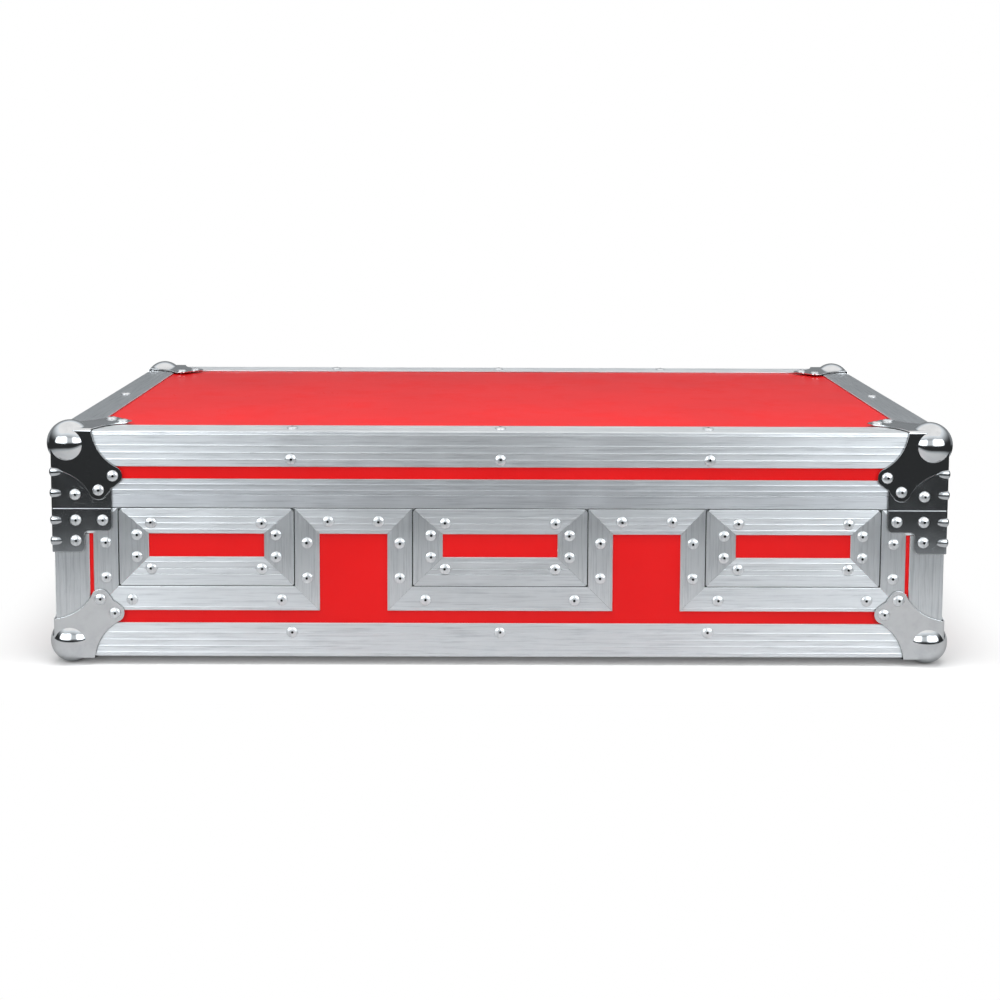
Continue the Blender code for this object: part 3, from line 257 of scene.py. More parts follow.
# Panels: plywood 9 mm thick, with a hard red laminate pressed on the outside.
# Each panel is sawn from a sheet and slid into the slots of the aluminium edging.
# The laminate has a fine pebbled grain, and the inner faces show the bare birch veneer.
LAMINATE_RED = (0.76, 0.0055, 0.0065, 1.0)
LAMINATE_DEEP = (0.72, 0.0050, 0.0060, 1.0)
LAMINATE_DEPTH, LAMINATE_EDGE, LAMINATE_SHINE = 0.0028, 0.0002, 0.25
VENEER_PALE = (0.60, 0.42, 0.24, 1.0)
VENEER_DARK = (0.40, 0.25, 0.12, 1.0)
CASE_FOOT, CASE_HEAD = 0.007, 0.204
PANELS = [f"base_{side}_panel" for side in ("bottom", "front", "rear", "left", "right")]
PANELS += ["lid_top_panel", "lid_wall", "door_panel_left", "door_panel_centre", "door_panel_right"]


def new_group(name, inputs, outputs):
    """Shader group with its inputs, given as start values, and its outputs."""
    group = bpy.data.node_groups.new(name, "ShaderNodeTree")
    for title, value in inputs.items():
        kind = "NodeSocketFloat" if isinstance(value, float) else "NodeSocketVector"
        socket = group.interface.new_socket(title, in_out="INPUT", socket_type=kind)
        socket.default_value = value
    for title in outputs:
        group.interface.new_socket(title, in_out="OUTPUT", socket_type="NodeSocketFloat")
    given = group.nodes.new("NodeGroupInput").outputs
    return group, given, group.nodes.new("NodeGroupOutput").inputs


def feed(socket, value):
    """Link a value to a socket."""
    value.id_data.links.new(value, socket)


def noise(vector, scale, detail=2.0, rough=0.5):
    """Soft random value."""
    inputs = {"Vector": vector, "Scale": scale, "Detail": detail, "Roughness": rough}
    return add_node("TexNoise", inputs)["Fac"]


start_values = {"Place": (0.0, 0.0, 0.0), "Amount": 0.5, "Size": 60.0}
handling_marks, given, made = new_group("handling_marks", start_values, ("Smudge", "Scratch"))
cloud = spread(noise(given["Place"], given["Size"], 4.0, 0.6), 0.42, 0.72)
bent = calculate("MULTIPLY", noise(given["Place"], 9.0, 2.0), 90.0)
waves = add_node("TexWave", {"Vector": given["Place"], "Scale": 23.0, "Distortion": bent})["Fac"]
patches = spread(noise(given["Place"], 30.0, 3.0), 0.58, 0.68)
scratch = calculate("MULTIPLY", spread(waves, 0.965, 1.0), patches, given["Amount"])
feed(made["Smudge"], calculate("MULTIPLY", cloud, given["Amount"]))
feed(made["Scratch"], scratch)


def handled(place, amount, size):
    """Smudges and scratches of a surface."""
    inputs = {"Place": place, "Amount": amount, "Size": size}
    return add_node("Group", inputs, node_tree=handling_marks)


def finish_material(name, roughness, metallic=0.0):
    """Material, the inputs of its shader, and its Object coordinates."""
    material = bpy.data.materials.new(name)
    material.use_nodes = True
    shader = material.node_tree.nodes["Principled BSDF"].inputs
    shader["Roughness"].default_value = roughness
    shader["Metallic"].default_value = metallic
    return material, shader, add_node("TexCoord", {}, material.node_tree)["Object"]


def add_bump(shader, height, distance, strength=1.0, under=None):
    """Lay a bump pattern over the surface."""
    inputs = {"Strength": strength, "Distance": distance, "Height": height}
    if under is not None:
        inputs["Normal"] = under
    normal = add_node("Bump", inputs)[0]
    feed(shader["Normal"], normal)
    return normal


laminate, shader, place = finish_material("red_laminate", 0.34)
rise = calculate("SUBTRACT", add_node("SeparateXYZ", {0: place})[2], CASE_FOOT)
inset = vectors("SUBTRACT", (HALF_WIDTH, HALF_DEPTH, CASE_HEAD), vectors("ABSOLUTE", place))
nearest = calculate("MINIMUM", *add_node("SeparateXYZ", {0: inset}), rise)
bare = spread(nearest, LAMINATE_DEPTH, LAMINATE_DEPTH + LAMINATE_EDGE)
streaks = add_node("Mapping", {"Vector": place, "Scale": (5.0, 130.0, 130.0)})[0]
veneer = mix_colour(noise(streaks, 1.0, 5.0, 0.6), VENEER_DARK, VENEER_PALE)
red = mix_colour(spread(noise(place, 9.0, 3.0), 0.35, 0.65), LAMINATE_RED, LAMINATE_DEEP)
feed(shader["Base Color"], mix_colour(bare, red, veneer))
shader["Specular IOR Level"].default_value = LAMINATE_SHINE
marks = handled(place, 0.7, 22.0)
dull = scaled(marks["Scratch"], 0.2, scaled(marks["Smudge"], 0.08, 0.33))
feed(shader["Roughness"], scaled(bare, 0.3, dull))
under = add_bump(shader, noise(place, 26.0, 1.0), 0.0012, 0.25)
add_bump(shader, noise(place, 620.0, 2.0, 0.55), 0.00025, 0.35, under)

for name in PANELS:
    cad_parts[name].data.materials[0] = laminate


# Base edge: four lengths of double-angle aluminium, extruded with ribs along the outside.
# Each length is cut at 45 degrees, slid over the panels' edges and riveted through them.
ALUMINIUM_PALE = (0.93, 0.945, 0.955, 1.0)
ALUMINIUM_GREY = (0.56, 0.575, 0.59, 1.0)
# Painted shade: the dark grey that metal colours turn towards in gaps and under neighbouring parts.
CREVICE_SHADE_COLOUR = (0.10, 0.10, 0.10, 1.0)
CREVICE = 0.0022
LEAF, FLAT, SHELF, INNER_FACE = 0.0015, 0.00035, 0.0111, 0.0126
LEAF_EASE = 0.0004
EDGE_LEG, EDGE_UPSTAND, EDGE_ROUND = 0.030, 0.022, 0.0014
REED_HALF, REED_CREST = 0.0007, 0.00008
GROOVE_HALF_WIDTH, GROOVE_BOTTOM = 0.00045, 0.0007
EDGE_WALL_REEDS = (0.0039, 0.0097, 0.0152, 0.0215)
EDGE_FLAT_REEDS = (0.0039, 0.0130, 0.0191, 0.0250)
OVERRUN, MITRE_GAP, CORNER_TRIM = 0.04, 0.00006, 0.0071
RIVET_HOLE, RIVET_HOLE_ASIDE, RIVET_TURN = 0.00115, 0.0004, 0.9
RIVET_PROFILE = (
    (0.00485, -0.0004), (0.00485, 0.0004), (0.004171, 0.0011), (0.002813, 0.0016),
    (RIVET_HOLE, 0.0018), (0.85 * RIVET_HOLE, 0.0009),
)
RIVET_COLOUR = (0.95, 0.955, 0.96, 1.0)
# Painted shade: the inside of each rivet's hole is coloured near-black, for the shade deep in the
# hollow rivet.
HOLE_SHADE_BLACK, HOLE_SHADE_GREY = (0.004, 0.004, 0.004, 1.0), (0.03, 0.03, 0.03, 1.0)
EDGE_RIVET_COLUMNS = (-0.17854, 0.0, 0.17854)
BASE_RIVET_ROW = 0.0222
RUNS = {
    "front": ((-1, -1), (1, -1), (0, 1, 0)),
    "right": ((1, -1), (1, 1), (-1, 0, 0)),
    "rear": ((1, 1), (-1, 1), (0, -1, 0)),
    "left": ((-1, 1), (-1, -1), (1, 0, 0)),
}

start_values = {"Run": (0.0, 0.0, 0.0), "Length": 2.0, "Width": 900.0}
drawn_lines, given, made = new_group("drawn_lines", start_values, ("Line", "Streak"))
across = add_node("CombineXYZ", {0: given["Length"], 1: given["Width"], 2: given["Width"]})[0]
stretched = vectors("MULTIPLY", given["Run"], across)
shorter = vectors("MULTIPLY", stretched, (9.0, 0.45, 0.45))
feed(made["Line"], noise(stretched, 1.0, 3.0, 0.7))
feed(made["Streak"], spread(noise(shorter, 1.0, 4.0, 0.65), 0.40, 0.70))


def colour_metal(shader, clean):
    """Colour of a metal, darkened by painted shade where its surface closes in on a neighbour."""
    # Painted shade: ambient occlusion mixes the colour towards near-black in gaps, round rivets and
    # under parts.
    near = add_node("AmbientOcclusion", {"Distance": CREVICE}, clean.id_data, samples=6)["AO"]
    feed(shader["Base Color"], mix_colour(spread(near, 0.25, 0.85), CREVICE_SHADE_COLOUR, clean))


def metal_finish(name, pale, grey, roughness, line_height, length, width, mapped=False):
    """Metal drawn or brushed one way: fine lines, streaks, smudges and light scratches."""
    material, shader, place = finish_material(name, roughness, 1.0)
    run = add_node("TexCoord", {}, material.node_tree)["UV"] if mapped else place
    inputs = {"Run": run, "Length": length, "Width": width}
    lines = add_node("Group", inputs, node_tree=drawn_lines)
    worn = handled(place, 0.6, 34.0)
    tone = scaled(lines["Streak"], 0.45, calculate("MULTIPLY", worn["Smudge"], 0.2))
    tone = scaled(lines["Line"], 0.9, calculate("ADD", tone, -0.45))
    colour_metal(shader, mix_colour(spread(tone, 0.0, 1.0), pale, grey))
    rough = scaled(worn["Smudge"], 0.12, scaled(lines["Line"], 0.16, roughness - 0.07))
    feed(shader["Roughness"], scaled(worn["Scratch"], 0.18, rough))
    add_bump(shader, lines["Line"], line_height, 0.6)
    return material


def drawn_aluminium(name, pale, grey):
    """Aluminium drawn along the map's first axis, glossier along its lines than across them."""
    material = metal_finish(name, pale, grey, 0.38, 0.00004, 2.0, 900.0, True)
    shader = material.node_tree.nodes["Principled BSDF"].inputs
    shader["Anisotropic"].default_value = 0.65
    shader["Anisotropic Rotation"].default_value = 0.25
    feed(shader["Tangent"], add_node("Tangent", {}, material.node_tree, direction_type="UV_MAP")[0])
    return material


aluminium = drawn_aluminium("aluminium", ALUMINIUM_PALE, ALUMINIUM_GREY)
rivet_metal = metal_finish("rivet_metal", RIVET_COLOUR, ALUMINIUM_GREY, 0.32, 0.00002, 90.0, 90.0)
# Painted shade: the faces inside each rivet's hole take this near-black material.
rivet_hole_shade, shader, place = finish_material("painted_hole_shade", 0.5, 0.6)
feed(shader["Base Color"], mix_colour(noise(place, 900.0), HOLE_SHADE_BLACK, HOLE_SHADE_GREY))


def arc(centre, radius, first, last, steps):
    """Points of an arc, in degrees, both ends included."""
    angles = [math.radians(first + (last - first) * step / steps) for step in range(steps + 1)]
    return [(centre[0] + radius * math.cos(a), centre[1] + radius * math.sin(a)) for a in angles]


def ribbed_leaf(leaf, reeds, grooves=()):
    """Outside of a leaf from its free edge to its root, as (depth, distance from the root)."""
    points = [(FLAT + LEAF_EASE, leaf), (FLAT, leaf - LEAF_EASE)]
    for centre in sorted((*reeds, *grooves), reverse=True):
        half, crest = REED_HALF, REED_CREST
        if centre in grooves:
            half, crest = GROOVE_HALF_WIDTH, GROOVE_BOTTOM
        shoulder = 0.25 * FLAT + 0.75 * crest
        points += [(FLAT, centre + half), (shoulder, centre + 0.55 * half), (crest, centre)]
        points += [(shoulder, centre - 0.55 * half), (FLAT, centre - half)]
    return points


def edge_section(wall_leg, wall_reeds, flat_reeds):
    """Double angle as (inset, rise) from the outer corner: an L, a shelf and an upstand."""
    rounding = FLAT + EDGE_ROUND
    section = [(LEAF, wall_leg)] + ribbed_leaf(wall_leg, wall_reeds)
    section += arc((rounding, rounding), EDGE_ROUND, 180, 270, 6)
    section += [(along, depth) for depth, along in reversed(ribbed_leaf(EDGE_LEG, flat_reeds))]
    section += [(EDGE_LEG, LEAF), (LEAF, LEAF), (LEAF, SHELF), (INNER_FACE, SHELF)]
    section += [(INNER_FACE, EDGE_UPSTAND), (SHELF, EDGE_UPSTAND), (SHELF, INNER_FACE)]
    return section + [(LEAF, INNER_FACE)]


def weld(bm, reach):
    """Join vertices that lie together."""
    bmesh.ops.remove_doubles(bm, verts=bm.verts, dist=reach)


def face_outward(bm):
    """Turn all faces outward."""
    bmesh.ops.recalc_face_normals(bm, faces=bm.faces)


def finished(name, bm, materials, body, node=None, sharp=35):
    """Make a shape a named piece that rides with its part of the case."""
    mesh = as_mesh(name, bm)
    for material in materials:
        mesh.materials.append(material)
    mesh.shade_smooth()
    mesh.set_sharp_from_angle(angle=math.radians(sharp))
    obj = place_in_scene(name, mesh)
    obj.modifiers.new("even_shading", "WEIGHTED_NORMAL").keep_sharp = True
    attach(obj, body)
    if node:
        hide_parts(node)
    return obj


def prism(outline, start, end):
    """Flat outline extruded between two offsets."""
    bm = bmesh.new()
    face = bm.faces.new([bm.verts.new(Vector(start) + Vector(point)) for point in outline])
    grown = bmesh.ops.extrude_face_region(bm, geom=[face])["geom"]
    bmesh.ops.translate(bm, verts=only(BMVert, grown), vec=Vector(end) - Vector(start))
    face_outward(bm)
    return bm


def cut_off(bm, point, outward):
    """Take off what lies beyond a plane, and close the cut."""
    whole = bm.verts[:] + bm.edges[:] + bm.faces[:]
    cut = bmesh.ops.bisect_plane(bm, geom=whole, plane_co=point, plane_no=outward, clear_outer=True)
    bmesh.ops.edgeloop_fill(bm, edges=only(BMEdge, cut["geom_cut"]))


def turned(profile, centre, axis, steps=32):
    """Round part: a profile of (radius, place along the axis), closed at both ends."""
    bm = bmesh.new()
    centre, axis = Vector(centre), Vector(axis)
    aside = Vector((1, 0, 0)) if axis.z else Vector((0, 0, 1))
    line = [bm.verts.new(centre + aside * radius + axis * along) for radius, along in profile]
    line += [bm.edges.new(pair) for pair in zip(line, line[1:])]
    bmesh.ops.spin(
        bm, geom=line, cent=centre, axis=axis, angle=2 * math.pi, steps=steps, use_merge=True
    )
    weld(bm, 0.00001)
    bmesh.ops.holes_fill(bm, edges=[edge for edge in bm.edges if edge.is_boundary], sides=0)
    face_outward(bm)
    return bm


def length_piece(name, section, start, end, inset, rise, body, node, ends=(), tips=(), notches=()):
    """Drawn aluminium between two corners, its section as (inset, rise), its map along it.

    Each end is cut to face a way; a tip is a way and the depth to which the corner is cut."""
    inset, rise, corners = Vector(inset), Vector(rise), (Vector(start), Vector(end))
    along, across = (corners[1] - corners[0]).normalized(), inset - rise
    past = along * OVERRUN if ends else Vector()
    start, end = corners[0] - past, corners[1] + past
    outline = [start + inset * depth + rise * height for depth, height in section]
    bm = prism(outline, (0, 0, 0), end - start)
    cuts = [(corner, way, 0.0) for corner, way in zip(corners, ends)]
    for corner, way, depth in cuts + [(corner, *tip) for corner, tip in zip(corners, tips)]:
        way = Vector(way).normalized()
        cut_off(bm, corner - way * (depth + MITRE_GAP), way)
    face_outward(bm)
    for notch in notches:
        bm = carve(bm, notch)
    face_outward(bm)
    layer = bm.loops.layers.uv.verify()
    for face in bm.faces:
        for loop in face.loops:
            loop[layer].uv = (loop.vert.co.dot(along), loop.vert.co.dot(across))
    return finished(name, bm, [aluminium], body, node)


def case_corner(side, end, height):
    """Place at one of the upright edges of the case."""
    return Vector((side * HALF_WIDTH, end * HALF_DEPTH, height))


def mitred_run(name, section, level, rise, side, body, node, trim=0.0, notches=()):
    """One length round the case, mitred at the corners, with their tips taken off or not."""
    first, last, inset = RUNS[side]
    start, end, inset = case_corner(*first, level), case_corner(*last, level), Vector(inset)
    along = (end - start).normalized()
    ends = (inset - along, inset + along)
    tips = [(way - inset - Vector(rise), trim) for way in (-along, along)] if trim else ()
    return length_piece(name, section, start, end, inset, rise, body, node, ends, tips, notches)


bm = turned(RIVET_PROFILE, (0, 0, 0), (0, 0, 1), 12)
for face in bm.faces:
    middle = face.calc_center_median()
    face.material_index = 1 if middle.xy.length < RIVET_HOLE and middle.z > 0 else 0
for vert in bm.verts:
    if vert.co.xy.length < 1.01 * RIVET_HOLE:
        vert.co.x += RIVET_HOLE_ASIDE
rivet_mesh = as_mesh("rivet", bm)


def rivet_row(name, rows, body):
    """Set blind rivets; each row is an outward direction and the places of its rivets."""
    bm = bmesh.new()
    for outward, places in rows:
        turn = Vector(outward).to_track_quat("Z", "Y").to_matrix().to_4x4()
        for number, place in enumerate(places):
            first = len(bm.verts)
            bm.from_mesh(rivet_mesh)
            bm.verts.ensure_lookup_table()
            spun = Matrix.Translation(place) @ turn @ Matrix.Rotation(RIVET_TURN * number, 4, "Z")
            bmesh.ops.transform(bm, matrix=spun, verts=bm.verts[first:])
    return finished(name, bm, [rivet_metal, rivet_hole_shade], body, sharp=50)


def edge_ring(part, section, level, rise, rivet_row_height):
    """Four mitred lengths of double angle round the case, with the rivets along both leaves."""
    for side in RUNS:
        name, node = f"{part}_edge_{side}", f"{part}_edge_ring"
        mitred_run(name, section, level, (0, 0, rise), side, part, node, CORNER_TRIM)
    height, flat = level + rise * rivet_row_height, level + rise * FLAT
    face_x, face_y, middle = HALF_WIDTH - FLAT, HALF_DEPTH - FLAT, EDGE_LEG / 2
    columns = EDGE_RIVET_COLUMNS
    rows = [((0, end, 0), [(x, end * face_y, height) for x in columns]) for end in (-1, 1)]
    rows += [((side, 0, 0), [(side * face_x, 0, height)]) for side in (-1, 1)]
    places = [(x, end * (HALF_DEPTH - middle), flat) for end in (-1, 1) for x in columns]
    places += [(side * (HALF_WIDTH - middle), 0.0, flat) for side in (-1, 1)]
    rivet_row(f"{part}_edge_rivets", rows + [((0, 0, -rise), places)], part)


base_edge = edge_section(EDGE_LEG, EDGE_WALL_REEDS, EDGE_FLAT_REEDS)
edge_ring("base", base_edge, CASE_FOOT, 1, BASE_RIVET_ROW)


# Lid edge: the same double angle turned over, with a wall leaf a little longer.
# It closes the lid's top and walls, and its top leaf carries the rivets seen from above.
LID_EDGE_LEG = 0.0312
LID_WALL_REEDS = (0.0039, 0.0130, 0.0191, 0.0251)
LID_RIVET_ROW = 0.02465

lid_edge = edge_section(LID_EDGE_LEG, LID_WALL_REEDS, EDGE_FLAT_REEDS)
edge_ring("lid", lid_edge, CASE_HEAD, -1, LID_RIVET_ROW)


# Corner posts: upright lengths of the same double angle between the base edge and the rim.
# They close the joint between two walls and stand square on the leaves of the base edge.
POST_FOOT, POST_HEAD = 0.0373, 0.11455
POST_REEDS = (0.0045, 0.0078, 0.0127, 0.0173, 0.0225)
SIDES, ENDS = ((-1, "left"), (1, "right")), ((-1, "front"), (1, "rear"))
CORNERS = [(f"{front}_{left}", side, end) for side, left in SIDES for end, front in ENDS]

post = edge_section(EDGE_LEG, POST_REEDS, POST_REEDS)
for label, side, end in CORNERS:
    foot, head = case_corner(side, end, POST_FOOT), case_corner(side, end, POST_HEAD)
    name, node = f"post_{label}", f"corner_post_{label}"
    length_piece(name, post, foot, head, (0, -end, 0), (-side, 0, 0), "base", node)


# Base rim: the male half of the lid joint, a channel on the walls' top edges with a tongue on it.
# At the front it drops round each of the three openings in mitred lengths, riveted on.
BASE_TOP, LID_BOTTOM = 0.13685, 0.13715
RIM_LEAF, SURROUND_LEAF, BACK_LEAF, RIM_EASE = 0.022, 0.0212, 0.012, 0.0008
# Half of a tongue and of a groove, as (away from its middle, depth), and the groove's root.
TONGUE = ((0.0020, 0.0), (0.0020, -0.0026), (0.0016, -0.0030))
GROOVE = ((0.0023, 0.0), (0.0023, 0.0036))
GROOVE_ROOT = 0.0051
RIM_REEDS, SURROUND_REEDS = (0.0076, 0.0131, 0.0184), (0.0185,)
OPENING_HALF, OPENING_FOOT = 0.07535, 0.06915
DOOR_CENTRES = (("left", -0.251), ("centre", 0.0), ("right", 0.251))
LATCH_SPREAD = 0.113
NOTCH_HALF, NOTCH_BACK, NOTCH_PAST, NOTCH_REACH = 0.0416, 0.0108, 0.002, 0.03
RIM_RIVET_ROW, RIM_RIVET_COLUMNS = 0.12585, (-0.147, -0.104, 0.104, 0.147)
SURROUND_COLUMN = OPENING_HALF + SURROUND_LEAF / 2
SURROUND_RIVETS = ((SURROUND_COLUMN, 0.10706), (SURROUND_COLUMN, 0.0766), (0.06405, 0.0575))
FRONT, FRONT_FACE = -HALF_DEPTH, FLAT - HALF_DEPTH
DOWN = (0, 0, -1)


def rim_section(leaf, reeds, grooved=False, grooves=()):
    """Channel over a panel's edge, as (inset, distance into the panel)."""
    middle = INNER_FACE / 2
    joint, root = (GROOVE, GROOVE_ROOT) if grooved else (TONGUE, LEAF)
    section = [(LEAF, leaf)] + ribbed_leaf(leaf, reeds, grooves)
    section += arc((FLAT + RIM_EASE, RIM_EASE), RIM_EASE, 180, 270, 3)
    section += [(middle - half, depth) for half, depth in joint]
    section += [(middle + half, depth) for half, depth in reversed(joint)]
    section += [(INNER_FACE, 0.0), (INNER_FACE, BACK_LEAF), (SHELF, BACK_LEAF)]
    return section + [(SHELF, root), (LEAF, root)]


def evaluated_shape(obj):
    """Shape of an object with its modifiers."""
    bpy.context.view_layer.update()
    whole = obj.evaluated_get(bpy.context.evaluated_depsgraph_get())
    return as_shape(bpy.data.meshes.new_from_object(whole))


def carve(target, shape, operation="DIFFERENCE"):
    """Cut one shape out of another, or join them, and return the result."""
    objects = [place_in_scene("carving", as_mesh("carving", part)) for part in (target, shape)]
    modifier = objects[0].modifiers.new("cut", "BOOLEAN")
    modifier.operation, modifier.solver, modifier.object = operation, "EXACT", objects[1]
    result = evaluated_shape(objects[0])
    for item in objects:
        data = item.data
        bpy.data.objects.remove(item)
        bpy.data.meshes.remove(data)
    weld(result, 0.000005)
    return result


def block(corner, opposite):
    """Box between two opposite corners."""
    corner, opposite = Vector(corner), Vector(opposite)
    scale = Matrix.Diagonal((*(abs(size) for size in opposite - corner), 1.0))
    bm = bmesh.new()
    middle = Matrix.Translation((corner + opposite) / 2)
    bmesh.ops.create_cube(bm, size=1.0, matrix=middle @ scale)
    return bm


def rim_lengths(part, section, level, rise, sides):
    """Lengths of a rim round the case, those at its sides notched behind the latch dishes."""
    pieces = []
    for side in sides:
        notches = []
        for hand in (-1, 1) if side in ("left", "right") else ():
            reach, middle = RUNS[side][0][0], hand * LATCH_SPREAD
            near = (reach * (HALF_WIDTH + NOTCH_PAST), middle - NOTCH_HALF, level - NOTCH_REACH)
            far = (reach * (HALF_WIDTH - NOTCH_BACK), middle + NOTCH_HALF, level + NOTCH_REACH)
            notches.append(block(near, far))
        name, node = f"{part}_rim_{side}", f"{part}_rim"
        pieces.append(mitred_run(name, section, level, rise, side, part, node, notches=notches))
    return pieces


def front_bar(name, section, first, last, rise, ends, body, node, tips=()):
    """Length on the front between two (x, z) points."""
    start, end = ((x, FRONT, z) for x, z in (first, last))
    length_piece(name, section, start, end, (0, 1, 0), rise, body, node, ends, tips)


def both_hands(centre, spots):
    """Places on the front face at both hands of a centre; each spot is (x, z)."""
    return [(centre + hand * x, FRONT_FACE, z) for hand in (-1, 1) for x, z in spots]


rim = rim_section(RIM_LEAF, RIM_REEDS)
surround = rim_section(SURROUND_LEAF, SURROUND_REEDS)
rim_lengths("base", rim, BASE_TOP, DOWN, ("right", "left", "rear"))

stops = [-HALF_WIDTH]
for label, centre in DOOR_CENTRES:
    stops += [centre - OPENING_HALF, centre + OPENING_HALF]
stops.append(HALF_WIDTH)
slope = SURROUND_LEAF / RIM_LEAF
for number, (left, right) in enumerate(zip(stops[::2], stops[1::2]), 1):
    first = (-1, 1, 0) if left == -HALF_WIDTH else (-1, 0, -slope)
    last = (1, 1, 0) if right == HALF_WIDTH else (1, 0, -slope)
    name, start, end = f"base_rim_front_{number}", (left, BASE_TOP), (right, BASE_TOP)
    front_bar(name, rim, start, end, DOWN, (first, last), "base", "base_rim")

front_rivets = []
for label, centre in DOOR_CENTRES:
    for hand, side in SIDES:
        edge = centre + hand * OPENING_HALF
        name, start, end = f"surround_{label}_{side}", (edge, BASE_TOP), (edge, OPENING_FOOT)
        ends = ((hand, 0, slope), (-hand, 0, -1))
        front_bar(name, surround, start, end, (hand, 0, 0), ends, "base", "base_rim")
    left, right = (centre - OPENING_HALF, OPENING_FOOT), (centre + OPENING_HALF, OPENING_FOOT)
    name, ends = f"surround_{label}_foot", ((-1, 0, 1), (1, 0, 1))
    front_bar(name, surround, left, right, DOWN, ends, "base", "base_rim")
    front_rivets += both_hands(centre, SURROUND_RIVETS)
front_rivets += [(x, FRONT_FACE, RIM_RIVET_ROW) for x in RIM_RIVET_COLUMNS]
rear_rivets = [(x, -FRONT_FACE, RIM_RIVET_ROW) for x in EDGE_RIVET_COLUMNS]
rivet_row("base_rim_rivets", [((0, -1, 0), front_rivets), ((0, 1, 0), rear_rivets)], "base")


# Lid rim: the female half of the lid joint, a channel with a groove that drops over the tongue.
# Four mitred lengths close the lower edge of the lid's walls.
LID_RIM_LEAF = 0.0251
LID_RIM_REEDS, LID_RIM_GROOVES = (0.0153, 0.0204), (0.0115,)
# Painted shade: a darker copy of the drawn aluminium's colours for the lid rim, for the darker
# light it gets.
RIM_PALE, RIM_GREY = (0.78, 0.795, 0.815, 1.0), (0.46, 0.475, 0.49, 1.0)
UP = (0, 0, 1)

shaded_rim_aluminium = drawn_aluminium("shaded_rim_aluminium", RIM_PALE, RIM_GREY)
lid_rim = rim_section(LID_RIM_LEAF, LID_RIM_REEDS, True, LID_RIM_GROOVES)
for piece in rim_lengths("lid", lid_rim, LID_BOTTOM, UP, RUNS):
    piece.data.materials[0] = shaded_rim_aluminium


# Access doors: three, each a red panel in a riveted aluminium frame that is mitred at its corners.
# A groove in the frame's sides and foot slides down over the surround's tongue; its top is tongued.
DOOR_HALF, DOOR_FOOT = 0.07465, 0.06945
DOOR_SIDE_TRIM, DOOR_TOP_TRIM, DOOR_FOOT_TRIM = 0.0255, 0.022, 0.0253
DOOR_TOP_TIP, DOOR_FOOT_TIP = 0.0020, 0.0012
DOOR_SIDE_REEDS = (0.0225,)
DOOR_FOOT_REEDS, DOOR_FOOT_GROOVES = (0.0206,), (0.0103, 0.0151)
DOOR_RIVETS = ((0.05935, 0.11385), (0.05935, 0.09475), (0.04715, 0.1243), (0.04715, 0.0846))

door_side = rim_section(DOOR_SIDE_TRIM, DOOR_SIDE_REEDS, True)
door_foot = rim_section(DOOR_FOOT_TRIM, DOOR_FOOT_REEDS, True, DOOR_FOOT_GROOVES)
door_top = rim_section(DOOR_TOP_TRIM, RIM_REEDS)
rails = (
    ("top", door_top, BASE_TOP, 1, DOOR_TOP_TRIM, DOOR_TOP_TIP),
    ("foot", door_foot, DOOR_FOOT, -1, DOOR_FOOT_TRIM, DOOR_FOOT_TIP),
)
for label, centre in DOOR_CENTRES:
    body, node = f"door_{label}", f"door_frame_{label}"
    left, right = centre - DOOR_HALF, centre + DOOR_HALF
    for edge, (hand, side) in zip((left, right), SIDES):
        name, start, end = f"door_{label}_{side}", (edge, BASE_TOP), (edge, DOOR_FOOT)
        ends = [(-hand * trim, 0, up * DOOR_SIDE_TRIM) for _, _, _, up, trim, _ in rails]
        tips = [((hand, 0, up), tip) for _, _, _, up, _, tip in rails]
        front_bar(name, door_side, start, end, (-hand, 0, 0), ends, body, node, tips)
    for part, section, level, up, trim, tip in rails:
        name, start, end = f"door_{label}_{part}", (left, level), (right, level)
        ends = [(hand * trim, 0, -up * DOOR_SIDE_TRIM) for hand in (-1, 1)]
        tips = [((hand, 0, up), tip) for hand in (-1, 1)]
        front_bar(name, section, start, end, (0, 0, -up), ends, body, node, tips)
    rivet_row(f"door_{label}_rivets", [((0, -1, 0), both_hands(centre, DOOR_RIVETS))], body)


# Ball corners: pressed steel, chromed, each a hollow ball with three rounded petals.
# The petals lie flat on the edging at each corner of the case and take two rivets each.
CHROME_BRIGHT = (0.86, 0.865, 0.87, 1.0)
CHROME_SHADE = (0.70, 0.71, 0.72, 1.0)
BALL_CENTRE, BALL_RADIUS, BALL_SEGMENTS = 0.0123, 0.0193, 56
PLATE_OUTER, PLATE_INNER = -0.0015, -0.0003
PLATE_ROUND, PLATE_REACH = 0.0025, 0.068
PLATE_TIP, SEAT_TIP = 0.0097, 0.0118
PETAL_WAIST, PETAL_NOTCH, PETAL_NOTCH_IN, PETAL_NOTCH_RADIUS = 0.0334, 0.04975, 0.003, 0.0042
PETAL_LOBE, PETAL_LOBE_RADIUS = (0.0513, 0.039), 0.0082
PETAL_EASE = 0.00032


def plated_finish(name, bright, shade, roughness, marks):
    """Plated steel: smooth, with cloudy patches and light scratches."""
    material, shader, place = finish_material(name, roughness, 1.0)
    worn = handled(place, marks, 90.0)
    colour_metal(shader, mix_colour(worn["Smudge"], bright, shade))
    rough = scaled(worn["Scratch"], 0.15, scaled(worn["Smudge"], 0.08, roughness))
    feed(shader["Roughness"], rough)
    add_bump(shader, noise(place, 160.0), 0.00012, 0.12)
    return material


chrome = plated_finish("chrome", CHROME_BRIGHT, CHROME_SHADE, 0.07, 0.5)


